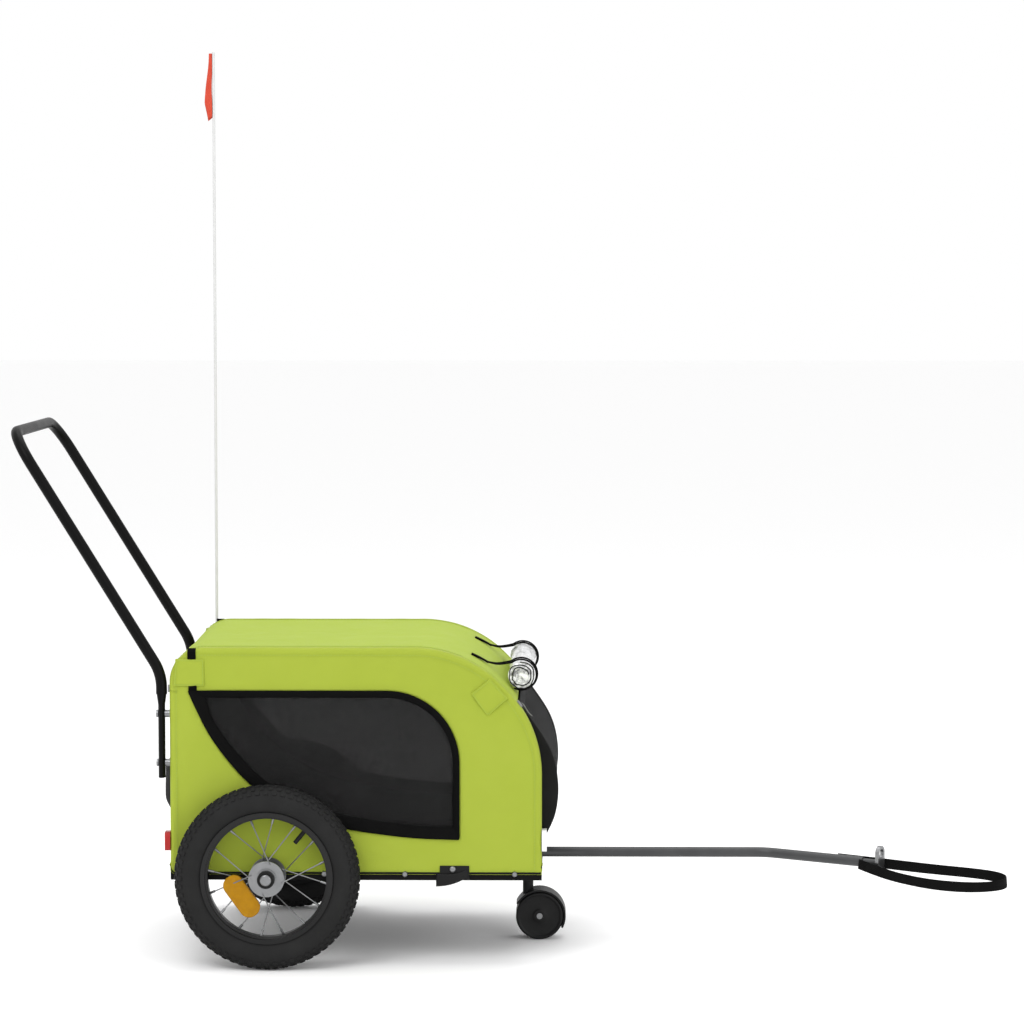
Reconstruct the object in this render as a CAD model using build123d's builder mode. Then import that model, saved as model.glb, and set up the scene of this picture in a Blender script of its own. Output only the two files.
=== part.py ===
"""Two-wheel cabin trailer with a push handle, a swivel caster and a tow arm.

Millimetres. +X is forward, towards the bicycle, +Y is the trailer's left, +Z is up.
The origin is on the ground under the middle of the trailer. Lengths that are given
"from the axle" are measured forward of the wheel axle's line.
"""

import os
from math import acos, atan2, cos, degrees, hypot, radians, sin, sqrt, tan

from build123d import *

os.makedirs("parts", exist_ok=True)

# ---------------------------------------------------------------- driving dimensions
# Overall
HANDLE_REACH = 422.0  # axle to the rearmost point of the push handle
TOW_REACH = 1012.0  # axle to the foremost point of the tow eye
TRACK = 540.0  # middle of one tyre to the middle of the other
WHEEL_R = 150.0  # 12 1/2 inch pneumatic wheel

# Cabin, from the axle
CABIN_REAR = -160.0
CABIN_FRONT = 443.0
ROOF_Z = 518.0
CABIN_HALF = 239.0  # half width over the side panels
NOSE_CUT = 125.0  # how far the sloping nose cuts the upper front corner
NOSE_R = 200.0
REAR_R = 55.0
COVER_T = 3.0  # fabric of the side covers, with its lining and hem
SHEET_T = 2.5  # fabric of the roof and the ends
COVER_BOTTOM = 149.0
REAR_DOOR_SILL = 172.0
REAR_DOOR_TOP = 453.0
FRONT_DOOR_SILL = 202.0
FRONT_DOOR_TOP = 426.0
DOOR_HALF = 212.0
DOOR_BULGE = 25.0
SEAM = 2.0  # a zip's width between a door and the sheet beside it

# Windows, from the axle
WINDOW_REAR = -128.0
WINDOW_FRONT = 308.0
WINDOW_TOP = 447.5
WINDOW_SILL = 205.0
WINDOW_R = 116.0
WINDOW_ARCH = [(131.0, 72.0), (-30.0, 144.0), (-95.0, 223.0)]  # from the wheel's centre
MESH_T = 1.2

# Frame
RAIL = 22.0  # square tube
RAIL_WALL = 1.5
TUBE_R = 9.0  # round tube of the hoops and the push handle
TUBE_WALL = 1.5
BAR_R = 8.0  # roof bars
CROSS_W = 22.0
CROSS_H = 14.0
FLOOR_T = 3.0
EDGE_GAP = 1.0  # board and panel edges to the frame

# Push handle
HANDLE_TOP = 865.0
HANDLE_BEND = 475.0
HANDLE_FOOT = 306.0
HANDLE_R = 60.0
HANDLE_BEND_R = 80.0
HANDLE_STANDOFF = 8.0
FLAT_X, FLAT_Y = 11.2, 23.0  # the flattened lower leg
FLAT_TOP = 425.0
FLAT_LOFT = 17.0
FLAT_STEP = 1.0
HANDLE_BOLT_Z = (330.0, 410.0)
BOLT_R = 3.0
BOLT_GAP = 0.1

# Fasteners on the rails, from the axle
RAIL_BOLTS = (90.0, 221.0, 399.0)
RAIL_BOLT_R = 2.5
DOME_R = 5.0
DOME_H = 3.0
CLIP_X = 298.0

# Wheel
TYRE_WIDTH = 44.0
TYRE_WALL = 3.2
RIM_SEAT_R = 101.5
RIM_WIDTH = 31.0
RIM_T = 1.6
WELL_DEPTH = 4.0
WELL_W = 14.0
FLANGE_H = 5.5
SPOKES = 16
SPOKE_R = 1.0
SPOKE_START = 16.0  # degrees
SPOKE_LEAN = 30.0  # degrees between a spoke's two ends
SPOKE_CIRCLE_R = 25.0
NIPPLE_R = 2.0
NIPPLE_L = 12.0
HUB_FLANGE_R = 29.0
HUB_FLANGE_T = 3.0
HUB_SHELL_R = 17.0
HUB_HALF = 23.0
FLANGE_SPREAD = 21.0  # outer faces of the hub flanges, from the wheel's middle
BEARING_R = 14.0
BEARING_W = 8.0
AXLE_R = 6.0
RUN_GAP = 0.05  # radial running clearance
END_GAP = 0.5  # axial clearance beside turning parts
COLLAR_R = 14.0
COLLAR_T = 7.0
BUTTON_R = 9.5
BUTTON_T = 4.8
BUTTON_TRAVEL = 3.0
PUSHROD_R = 3.0
PUSHROD_L = 60.0
RECEIVER_R = 9.5
RECEIVER_L = 80.0
VALVE_ANGLE = 51.0
VALVE_R = 3.6
VALVE_L = 26.0
REFLECTOR_ANGLE = 216.0
REFLECTOR_R = 50.0
REFLECTOR_L, REFLECTOR_W, REFLECTOR_T = 76.0, 34.0, 8.0

# Caster, from the axle
CASTER_STEM = 419.0
CASTER_TRAIL = 19.5
CASTER_R = 40.0
CASTER_HALF = 23.0
WEB_HALF = 7.0
HOOD_GAP = 1.2
HOOD_T = 3.0
HOOD_TILT = -28.0
STEM_R = 6.0
NECK_R = 9.0
BUSH_R = 9.0
BUSH_H = 8.0
CASTER_TUBE_R = 11.0
CASTER_TUBE_BOTTOM = 98.0
PIVOT_R = 4.0

# Tow arm, from the axle
TOW_Z = 146.0
TOW_R = 8.5
TOW_WALL = 2.0
SOCKET_START = 210.0
SOCKET_WALL = 2.0
TOW_BEND = 820.0
TOW_TURN = 30.6  # degrees, towards the trailer's right
TOW_BEND_R = 60.0
TONGUE_R = 6.0
TONGUE_L = 30.0
EYE_W, EYE_T, EYE_HOLE_R = 25.0, 6.0, 7.5
EYE_CENTRE_Z = 163.0
EYE_FOOT_Z = 136.0
PIN_X = 300.0
PIN_R = 3.0
PIN_TRAVEL = 7.0
PIN_REACH = 5.5  # how far the pin stands inside the arm's tube
PIN_HOUSING_R = 9.0
PIN_HOUSING_L = 26.0
PIN_CAVITY_R = 7.0
PIN_LID = 3.0
COLLAR_H = 2.0
KNOB_R, KNOB_H = 9.0, 9.0
SPRING_TURNS = 5
SPRING_WIRE_R = 0.4
SPRING_R = 5.2

# Safety strap, from the axle
STRAP_W = 17.0
STRAP_T = 2.5
STRAP_ROUTE = [
    (938.0, -58.0, 146.0),
    (975.0, -79.0, 145.5),
    (1011.0, -94.0, 143.5),
    (1088.0, -116.0, 138.0),
    (1163.0, -122.0, 132.0),
    (1198.0, -140.0, 129.0),
    (1208.0, -170.0, 127.0),
    (1189.0, -199.0, 125.0),
    (1140.0, -209.0, 124.0),
    (1081.0, -195.0, 126.0),
    (1028.0, -160.0, 131.0),
    (992.0, -127.0, 138.0),
    (969.0, -100.0, 143.5),
]

# Rain cover roll and its ties
ROLL_R = 25.0
ROLL_HALF = 150.0
ROLL_X = 408.5
ROLL_GAP = 0.3
TIE_Y = 128.0
TAB_W, TAB_T = 12.0, 2.0
TAB_FROM, TAB_TO = 62.5, 54.0  # degrees round the nose's upper bend
ELASTIC_R = 1.5
ELASTIC_END = -60.0  # degrees round the roll

# Safety flag, from the axle
FLAG_X = -131.0
POLE_R = 2.5
POLE_TOP = 1506.0
POLE_FOOT = 335.0
SLEEVE_R = 5.0
SLEEVE_TOP = 500.0
FLAG_W, FLAG_H, FLAG_T = 13.0, 119.0, 6.0

# Reflectors and small parts
REAR_LAMP_Z, REAR_LAMP_H, REAR_LAMP_T = 202.0, 30.0, 9.0
FRONT_LAMP_Z, FRONT_LAMP_H, FRONT_LAMP_T = 204.0, 35.0, 8.0
LAMP_W = 24.0
POCKET_HALF = 150.0
POCKET_DEPTH = 20.0
POCKET_FOOT, POCKET_TOP = 228.0, 330.0

# ---------------------------------------------------------------- places that follow
AXLE_X = (HANDLE_REACH - TOW_REACH) / 2
AXLE_Z = WHEEL_R
REAR_X = AXLE_X + CABIN_REAR
FRONT_X = AXLE_X + CABIN_FRONT
COVER_IN = CABIN_HALF - COVER_T
HOOP_Y = COVER_IN - TUBE_R
HOOP_IN = HOOP_Y - TUBE_R
RAIL_Y = COVER_IN - RAIL / 2
RAIL_IN = COVER_IN - RAIL
RAIL_TOP = AXLE_Z + RAIL / 2
RIM_BAND_IN = HOOP_IN - 2 * EDGE_GAP  # inner edge of the cover's turned-over band
SIDES = (("right", -1), ("left", 1))
HALF_BEND = tan(radians(22.5))


def save(builder, name):
    """Labels a finished piece and writes its file."""
    builder.part.label = name
    export_step(builder.part, f"parts/{name}.step")


def side_outline(inset, bottom):
    """Corner points and radii of the cabin seen from the side, moved inwards by inset."""
    rear, front, top = REAR_X + inset, FRONT_X - inset, ROOF_Z - inset
    slope = FRONT_X + ROOF_Z - NOSE_CUT - inset * sqrt(2)
    points = [(rear, bottom), (rear, top), (slope - top, top), (front, slope - front), (front, bottom)]
    return points, [REAR_R - inset, NOSE_R - inset, NOSE_R - inset]


def outline_face(inset, mode=Mode.ADD):
    """Fills or cuts the cabin's side outline in the sketch being built."""
    points, bends = side_outline(inset, COVER_BOTTOM)
    with BuildLine(mode=Mode.PRIVATE) as outline:
        FilletPolyline(*points, radius=bends)
        Line(points[-1], points[0])
    make_face(outline.edges(), mode=mode)


def side_slab(side, inner, outer):
    """The plane and depth that span from inner to outer half width on one side."""
    top = outer if side > 0 else -inner
    return Plane.XZ.offset(-top), outer - inner


# ---------------------------------------------------------------- base frame
for name, side in SIDES:
    with BuildPart() as rail:
        with BuildSketch(Plane.YZ.offset(REAR_X)):
            with Locations((side * RAIL_Y, AXLE_Z)):
                RectangleRounded(RAIL, RAIL, RAIL_WALL)
        extrude(amount=FRONT_X - REAR_X)
        with BuildSketch(Plane.YZ.offset(REAR_X + RAIL_WALL)):
            with Locations((side * RAIL_Y, AXLE_Z)):
                Rectangle(RAIL - 2 * RAIL_WALL, RAIL - 2 * RAIL_WALL)
        extrude(amount=FRONT_X - REAR_X - 2 * RAIL_WALL, mode=Mode.SUBTRACT)
        plane, depth = side_slab(side, RAIL_IN, COVER_IN)
        with BuildSketch(plane):
            with Locations((AXLE_X, AXLE_Z)):
                Circle(RECEIVER_R)
        extrude(amount=depth, mode=Mode.SUBTRACT)
        plane, depth = side_slab(side, COVER_IN - 2 * RAIL_WALL, COVER_IN)
        with BuildSketch(plane):
            with Locations(*[(AXLE_X + x, AXLE_Z) for x in RAIL_BOLTS]):
                Circle(RAIL_BOLT_R + BOLT_GAP)
        extrude(amount=depth, mode=Mode.SUBTRACT)
    save(rail, f"{name}_base_rail")

SOCKET_R = TOW_R + RUN_GAP + SOCKET_WALL
with BuildPart() as cross_tubes:
    for x in (REAR_X + CROSS_W, AXLE_X + CROSS_W + RECEIVER_R, FRONT_X - CROSS_W):
        with BuildSketch(Plane.XZ.offset(-RAIL_IN)):
            with Locations((x, RAIL_TOP - CROSS_H / 2)):
                Rectangle(CROSS_W, CROSS_H)
        extrude(amount=2 * RAIL_IN)
    with BuildSketch(Plane.YZ.offset(AXLE_X + SOCKET_START)):
        with Locations((0, TOW_Z)):
            Circle(SOCKET_R)
    extrude(amount=CABIN_FRONT - SOCKET_START, mode=Mode.SUBTRACT)
save(cross_tubes, "cross_tubes")

with BuildPart() as floor_board:
    with BuildSketch(Plane.XY.offset(RAIL_TOP)):
        with Locations(((REAR_X + FRONT_X) / 2, 0)):
            RectangleRounded(
                FRONT_X - REAR_X - 2 * (SHEET_T + EDGE_GAP), 2 * (RAIL_IN - EDGE_GAP), RAIL / 2
            )
    extrude(amount=FLOOR_T)
save(floor_board, "floor_board")

# ---------------------------------------------------------------- hoops and roof bars
HOOP_INSET = COVER_T + TUBE_R
for name, side in SIDES:
    with BuildPart() as hoop:
        with BuildLine(Plane.XZ.offset(-side * HOOP_Y)):
            hoop_points, hoop_bends = side_outline(HOOP_INSET, RAIL_TOP)
            route = FilletPolyline(*hoop_points, radius=hoop_bends)
        with BuildSketch(Plane(origin=route @ 0, z_dir=route % 0)):
            Circle(TUBE_R)
            Circle(TUBE_R - TUBE_WALL, mode=Mode.SUBTRACT)
        sweep(path=route)
        for z in HANDLE_BOLT_Z:
            with BuildSketch(Plane.YZ.offset(REAR_X)):
                with Locations((side * HOOP_Y, z)):
                    Circle(BOLT_R + BOLT_GAP)
            extrude(amount=COVER_T + 2 * TUBE_R + EDGE_GAP, mode=Mode.SUBTRACT)
    save(hoop, f"{name}_side_hoop")

hoop_top = ROOF_Z - HOOP_INSET
nose_start = hoop_points[2][0] - HALF_BEND * hoop_bends[1]
with BuildPart() as roof_bars:
    for x in (REAR_X + HOOP_INSET + REAR_R, nose_start - 2 * BAR_R):
        with BuildSketch(Plane.XZ.offset(-HOOP_Y)):
            with Locations((x, hoop_top)):
                Circle(BAR_R)
                Circle(BAR_R - TUBE_WALL, mode=Mode.SUBTRACT)
        extrude(amount=2 * HOOP_Y)
    for side in (-1, 1):
        with BuildSketch(Plane.YZ.offset(REAR_X)):
            with Locations((side * HOOP_Y, hoop_top)):
                Circle(TUBE_R)
        extrude(amount=FRONT_X - REAR_X, mode=Mode.SUBTRACT)
save(roof_bars, "roof_bars")

# ---------------------------------------------------------------- fabric sides and windows


def window_face(mode=Mode.ADD):
    """Fills or cuts the window: flat head, round front corner and a curve over the wheel."""
    rear, front = AXLE_X + WINDOW_REAR, AXLE_X + WINDOW_FRONT
    arch = [(AXLE_X + x, AXLE_Z + z) for x, z in WINDOW_ARCH]
    corner = (front - WINDOW_R, WINDOW_TOP - WINDOW_R)
    with BuildLine(mode=Mode.PRIVATE) as outline:
        Line((rear, WINDOW_TOP), (corner[0], WINDOW_TOP))
        CenterArc(corner, WINDOW_R, 0, 90)
        Line((front, corner[1]), (front, WINDOW_SILL))
        Spline((front, WINDOW_SILL), *arch, (rear, WINDOW_TOP))
    make_face(outline.edges(), mode=mode)


for name, side in SIDES:
    with BuildPart() as side_panel:
        plane, depth = side_slab(side, RIM_BAND_IN, CABIN_HALF)
        with BuildSketch(plane):
            outline_face(0)
        extrude(amount=depth)
        plane, depth = side_slab(side, RIM_BAND_IN, COVER_IN)
        with BuildSketch(plane):
            outline_face(COVER_T)
            with Locations(((REAR_X + FRONT_X) / 2, COVER_BOTTOM)):
                Rectangle(FRONT_X - REAR_X, 2 * (RAIL_TOP - COVER_BOTTOM))
        extrude(amount=depth, mode=Mode.SUBTRACT)
        plane, depth = side_slab(side, COVER_IN, CABIN_HALF)
        with BuildSketch(plane):
            window_face()
            with Locations((AXLE_X, AXLE_Z)):
                Circle(RECEIVER_R + COLLAR_T)
            with Locations(*[(AXLE_X + x, AXLE_Z) for x in RAIL_BOLTS]):
                Circle(RAIL_BOLT_R + BOLT_GAP)
        extrude(amount=depth, mode=Mode.SUBTRACT)
        for z in HANDLE_BOLT_Z:
            with BuildSketch(Plane.YZ.offset(REAR_X)):
                with Locations((side * HOOP_Y, z)):
                    Circle(BOLT_R + BOLT_GAP)
            extrude(amount=COVER_T, mode=Mode.SUBTRACT)
    save(side_panel, f"{name}_side_panel")

    with BuildPart() as window:
        plane, depth = side_slab(side, COVER_IN + MESH_T / 2, COVER_IN + MESH_T * 3 / 2)
        with BuildSketch(plane):
            window_face()
        extrude(amount=depth)
    save(window, f"{name}_window")

# ---------------------------------------------------------------- roof, skirts and doors
with BuildPart() as roof:
    with BuildSketch(Plane.XZ.offset(-RIM_BAND_IN)):
        outline_face(0)
        outline_face(SHEET_T, mode=Mode.SUBTRACT)
        with Locations((REAR_X, REAR_DOOR_TOP + SEAM)):
            Rectangle(CABIN_FRONT - CABIN_REAR, ROOF_Z, align=(Align.CENTER, Align.MAX), mode=Mode.SUBTRACT)
        with Locations((FRONT_X, FRONT_DOOR_TOP + SEAM)):
            Rectangle(CABIN_FRONT - CABIN_REAR, ROOF_Z, align=(Align.CENTER, Align.MAX), mode=Mode.SUBTRACT)
    extrude(amount=2 * RIM_BAND_IN)
save(roof, "roof_panel")

with BuildPart() as skirts:
    for x, sill in ((REAR_X, REAR_DOOR_SILL), (FRONT_X - SHEET_T, FRONT_DOOR_SILL)):
        with BuildSketch(Plane.YZ.offset(x)):
            with Locations((0, COVER_BOTTOM)):
                Rectangle(2 * RAIL_IN, sill - SEAM - COVER_BOTTOM, align=(Align.CENTER, Align.MIN))
        extrude(amount=SHEET_T)
    with BuildSketch(Plane.YZ.offset(FRONT_X - SHEET_T)):
        with Locations((0, TOW_Z)):
            Circle(SOCKET_R + EDGE_GAP)
    extrude(amount=SHEET_T, mode=Mode.SUBTRACT)
save(skirts, "end_skirts")

nose_sum = FRONT_X + ROOF_Z - NOSE_CUT
chin_x, chin_z = FRONT_X - NOSE_R, nose_sum - FRONT_X - HALF_BEND * NOSE_R  # centre of the nose's lower bend
door_top_x = chin_x + sqrt(NOSE_R**2 - (FRONT_DOOR_TOP - chin_z) ** 2)
door_front = [
    (FRONT_X + SEAM, FRONT_DOOR_SILL),
    (FRONT_X + 0.85 * DOOR_BULGE, FRONT_DOOR_SILL + 45.0),
    (FRONT_X + DOOR_BULGE, FRONT_DOOR_SILL + 98.0),
    (FRONT_X + 0.4 * DOOR_BULGE, FRONT_DOOR_TOP - 70.0),
    (door_top_x, FRONT_DOOR_TOP),
]
door_back = [(x - SHEET_T, z) for x, z in door_front]
with BuildPart() as front_door:
    with BuildSketch(Plane.XZ.offset(-DOOR_HALF)):
        with BuildLine():
            Spline(*door_front)
            Line(door_front[-1], door_back[-1])
            Spline(*door_back)
            Line(door_back[0], door_front[0])
        make_face()
    extrude(amount=2 * DOOR_HALF)
save(front_door, "front_door")

with BuildPart() as rear_door:
    with BuildSketch(Plane.YZ.offset(REAR_X)):
        with Locations((0, REAR_DOOR_SILL)):
            Rectangle(2 * DOOR_HALF, REAR_DOOR_TOP - REAR_DOOR_SILL, align=(Align.CENTER, Align.MIN))
    extrude(amount=SHEET_T)
save(rear_door, "rear_door")

with BuildPart() as pocket:
    with BuildSketch(Plane.XZ.offset(-POCKET_HALF)):
        with BuildLine():
            Polyline(
                (REAR_X, POCKET_TOP),
                (REAR_X - POCKET_DEPTH / 3, POCKET_TOP - POCKET_DEPTH / 4),
                (REAR_X - POCKET_DEPTH, POCKET_TOP - 2 * POCKET_DEPTH),
                (REAR_X - POCKET_DEPTH, POCKET_FOOT + 1.5 * POCKET_DEPTH),
                (REAR_X, POCKET_FOOT),
                close=True,
            )
        make_face()
    extrude(amount=2 * POCKET_HALF)
save(pocket, "rear_pocket")

# ---------------------------------------------------------------- rolled rain cover
roll_x = AXLE_X + ROLL_X
roll_z = nose_sum + sqrt(2) * (ROLL_R + ROLL_GAP) - roll_x
with BuildPart() as roll:
    with BuildSketch(Plane.XZ.offset(-ROLL_HALF)):
        with Locations((roll_x, roll_z)):
            Circle(ROLL_R)
    extrude(amount=2 * ROLL_HALF)
    fillet(roll.edges().filter_by(GeomType.CIRCLE), COVER_T)
save(roll, "rain_cover_roll")

bend_x = nose_sum - ROOF_Z - HALF_BEND * NOSE_R
bend_z = ROOF_Z - NOSE_R


def at_angle(centre, radius, angle):
    """The point at an angle in degrees on a circle in the side view."""
    return centre[0] + radius * cos(radians(angle)), centre[1] + radius * sin(radians(angle))


with BuildPart() as ties:
    for y in (-TIE_Y, TIE_Y):
        with BuildSketch(Plane.XZ.offset(-y - TAB_W / 2)):
            with Locations((bend_x, bend_z)):
                Circle(NOSE_R + TAB_T)
                Circle(NOSE_R, mode=Mode.SUBTRACT)
            with BuildLine():
                Polyline(
                    (bend_x, bend_z),
                    at_angle((bend_x, bend_z), 2 * NOSE_R, TAB_TO),
                    at_angle((bend_x, bend_z), 2 * NOSE_R, TAB_FROM),
                    close=True,
                )
            make_face(mode=Mode.INTERSECT)
        extrude(amount=TAB_W)
        wrap_r = ROLL_R + ELASTIC_R + ROLL_GAP
        start = at_angle((bend_x, bend_z), NOSE_R + TAB_T + ELASTIC_R, TAB_TO)
        reach = hypot(start[0] - roll_x, start[1] - roll_z)
        bearing = degrees(atan2(start[1] - roll_z, start[0] - roll_x))
        touch = bearing - degrees(acos(wrap_r / reach))
        with BuildLine(Plane.XZ.offset(-y)) as loop:
            Line(start, at_angle((roll_x, roll_z), wrap_r, touch))
            ThreePointArc(
                at_angle((roll_x, roll_z), wrap_r, touch),
                at_angle((roll_x, roll_z), wrap_r, (touch + ELASTIC_END) / 2),
                at_angle((roll_x, roll_z), wrap_r, ELASTIC_END),
            )
        with BuildSketch(Plane(origin=loop.line @ 0, z_dir=loop.line % 0)):
            Circle(ELASTIC_R)
        sweep(path=loop.line)
save(ties, "roll_ties")

# ---------------------------------------------------------------- push handle
leg_x = REAR_X - HANDLE_STANDOFF - FLAT_X / 2
top_x = AXLE_X - HANDLE_REACH + TUBE_R
with BuildPart() as push_handle:
    with BuildLine():
        route = FilletPolyline(
            (leg_x, -HOOP_Y, FLAT_TOP + FLAT_LOFT),
            (leg_x, -HOOP_Y, HANDLE_BEND),
            (top_x, -HOOP_Y, HANDLE_TOP),
            (top_x, HOOP_Y, HANDLE_TOP),
            (leg_x, HOOP_Y, HANDLE_BEND),
            (leg_x, HOOP_Y, FLAT_TOP + FLAT_LOFT),
            radius=[HANDLE_BEND_R, HANDLE_R, HANDLE_R, HANDLE_BEND_R],
        )
    with BuildSketch(Plane(origin=route @ 0, z_dir=route % 0)):
        Circle(TUBE_R)
        Circle(TUBE_R - TUBE_WALL, mode=Mode.SUBTRACT)
    sweep(path=route)
    for y in (-HOOP_Y, HOOP_Y):
        with BuildSketch(Plane.XY.offset(HANDLE_FOOT)):
            with Locations((leg_x, y)):
                Ellipse(FLAT_X / 2, FLAT_Y / 2)
        extrude(amount=FLAT_TOP - HANDLE_FOOT)
        with BuildSketch(Plane.XY.offset(FLAT_TOP)):
            with Locations((leg_x, y)):
                Ellipse(FLAT_X / 2, FLAT_Y / 2)
        with BuildSketch(Plane.XY.offset(FLAT_TOP + FLAT_LOFT)):
            with Locations((leg_x, y)):
                Ellipse(TUBE_R - FLAT_STEP, TUBE_R - FLAT_STEP / 2)
        loft()
        for z in HANDLE_BOLT_Z:
            with BuildSketch(Plane.YZ.offset(leg_x - FLAT_X)):
                with Locations((y, z)):
                    Circle(BOLT_R + BOLT_GAP)
            extrude(amount=2 * FLAT_X, mode=Mode.SUBTRACT)
save(push_handle, "push_handle")

nut_x = REAR_X + COVER_T + 2 * TUBE_R
with BuildPart() as handle_bolts:
    for y in (-HOOP_Y, HOOP_Y):
        for z in HANDLE_BOLT_Z:
            with BuildSketch(Plane.YZ.offset(leg_x - FLAT_X / 2)):
                with Locations((y, z)):
                    Circle(BOLT_R)
            extrude(amount=nut_x + 2 * BOLT_R - leg_x + FLAT_X / 2)
            with BuildSketch(Plane.YZ.offset(leg_x - FLAT_X / 2 - BOLT_R)):
                with Locations((y, z)):
                    Circle(2 * BOLT_R)
            extrude(amount=BOLT_R)
            with BuildSketch(Plane.YZ.offset(nut_x)):
                with Locations((y, z)):
                    RegularPolygon(2 * BOLT_R, 6)
            extrude(amount=1.5 * BOLT_R)
            with BuildSketch(Plane.YZ.offset(leg_x + FLAT_X / 2)):
                with Locations((y, z)):
                    Circle(2 * BOLT_R)
            extrude(amount=HANDLE_STANDOFF)
save(handle_bolts, "handle_bolts")

# ---------------------------------------------------------------- rail bolts and clips
with BuildPart() as rail_bolts:
    for side in (-1, 1):
        for x in RAIL_BOLTS:
            outward = Plane(origin=(AXLE_X + x, side * CABIN_HALF, AXLE_Z), x_dir=(1, 0, 0), z_dir=(0, side, 0))
            with BuildSketch(outward.offset(-COVER_T - 2 * RAIL_WALL)):
                Circle(RAIL_BOLT_R)
            extrude(amount=COVER_T + 2 * RAIL_WALL)
            with BuildSketch(outward):
                Circle(DOME_R)
            extrude(amount=DOME_H, taper=25)
save(rail_bolts, "rail_bolts")

with BuildPart() as clips:
    for side in (-1, 1):
        # x runs so that the sketch's y is up on both sides
        outward = Plane(
            origin=(AXLE_X + CLIP_X, side * CABIN_HALF, AXLE_Z), x_dir=(-side, 0, 0), z_dir=(0, side, 0)
        )
        with BuildSketch(outward):
            with Locations((0, 1.0)):
                RectangleRounded(48.0, 23.0, 1.0)
        extrude(amount=COVER_T / 2)
        with BuildSketch(outward.offset(COVER_T / 2)):
            with Locations((0, 8.0)):
                Circle(DOME_R)
        extrude(amount=DOME_H)
save(clips, "rail_clips")

# ---------------------------------------------------------------- tow socket and lock pin
pin_x = AXLE_X + PIN_X
boss_top = TOW_Z - SOCKET_R + SOCKET_WALL / 2
boss_bottom = boss_top - PIN_HOUSING_L
with BuildPart() as tow_socket:
    with BuildSketch(Plane.YZ.offset(AXLE_X + SOCKET_START)):
        with Locations((0, TOW_Z)):
            Circle(SOCKET_R)
    extrude(amount=CABIN_FRONT - SOCKET_START)
    with BuildSketch(Plane.XY.offset(boss_bottom)):
        with Locations((pin_x, 0)):
            Circle(PIN_HOUSING_R)
    extrude(amount=TOW_Z - boss_bottom)
    with BuildSketch(Plane.YZ.offset(AXLE_X + SOCKET_START + SOCKET_WALL)):
        with Locations((0, TOW_Z)):
            Circle(TOW_R + RUN_GAP)
    extrude(amount=CABIN_FRONT - SOCKET_START, mode=Mode.SUBTRACT)
    with BuildSketch(Plane.XY.offset(boss_bottom)):
        with Locations((pin_x, 0)):
            Circle(PIN_R + RUN_GAP)
    extrude(amount=TOW_Z - boss_bottom, mode=Mode.SUBTRACT)
    with BuildSketch(Plane.XY.offset(boss_bottom + PIN_LID)):
        with Locations((pin_x, 0)):
            Circle(PIN_CAVITY_R)
    extrude(amount=PIN_HOUSING_L - 2 * PIN_LID, mode=Mode.SUBTRACT)
save(tow_socket, "tow_socket")

arm_bottom = TOW_Z - TOW_R
collar_z = boss_top - PIN_LID - COLLAR_H - END_GAP
with BuildPart() as lock_pin:
    with BuildSketch(Plane.XY.offset(boss_bottom - END_GAP - KNOB_H)):
        with Locations((pin_x, 0)):
            Circle(PIN_R)
    extrude(amount=arm_bottom + PIN_REACH - boss_bottom + END_GAP + KNOB_H)
    with BuildSketch(Plane.XY.offset(collar_z)):
        with Locations((pin_x, 0)):
            Circle(PIN_CAVITY_R - END_GAP)
    extrude(amount=COLLAR_H)
    with BuildSketch(Plane.XY.offset(boss_bottom - END_GAP - KNOB_H)):
        with Locations((pin_x, 0)):
            Circle(KNOB_R)
    extrude(amount=KNOB_H)
    fillet(lock_pin.edges().group_by(Axis.Z)[0], COLLAR_H)
save(lock_pin, "tow_lock_pin")

spring_foot = boss_bottom + PIN_LID + SPRING_WIRE_R + BOLT_GAP
spring_rise = collar_z - SPRING_WIRE_R - BOLT_GAP - spring_foot
with BuildPart() as pin_spring:
    with BuildLine(Plane(origin=(pin_x, 0, spring_foot))):
        coil = Helix(pitch=spring_rise / SPRING_TURNS, height=spring_rise, radius=SPRING_R)
    with BuildSketch(Plane(origin=coil @ 0, z_dir=coil % 0)):
        Circle(SPRING_WIRE_R)
    sweep(path=coil, is_frenet=True)
save(pin_spring, "lock_pin_spring")

# ---------------------------------------------------------------- tow arm and eye
turn = radians(TOW_TURN)
arm_dir = Vector(cos(turn), -sin(turn), 0)
eye_reach = TOW_REACH - EYE_T / 2 * cos(turn) - EYE_W / 2 * sin(turn) - TOW_BEND
bend = Vector(AXLE_X + TOW_BEND, 0, TOW_Z)
eye_foot = bend + arm_dir * (eye_reach / cos(turn))
tube_end = eye_foot - arm_dir * TONGUE_L
with BuildPart() as tow_arm:
    with BuildLine():
        route = FilletPolyline(
            (AXLE_X + SOCKET_START + 2 * SOCKET_WALL, 0, TOW_Z), bend, tube_end, radius=TOW_BEND_R
        )
    with BuildSketch(Plane(origin=route @ 0, z_dir=route % 0)):
        Circle(TOW_R)
        Circle(TOW_R - TOW_WALL, mode=Mode.SUBTRACT)
    sweep(path=route)
    with BuildSketch(Plane(origin=tube_end - arm_dir * TOW_R, z_dir=arm_dir)):
        Circle(TOW_R - TOW_WALL)
    extrude(amount=TOW_R)
    with BuildSketch(Plane(origin=tube_end, z_dir=arm_dir)):
        Circle(TONGUE_R)
    extrude(amount=TONGUE_L - EYE_T / 2)
    with BuildSketch(Plane.XY.offset(arm_bottom - TOW_WALL)):
        with Locations((pin_x, 0)):
            Circle(PIN_R + RUN_GAP)
    extrude(amount=TOW_R, mode=Mode.SUBTRACT)
save(tow_arm, "tow_arm")

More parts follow.
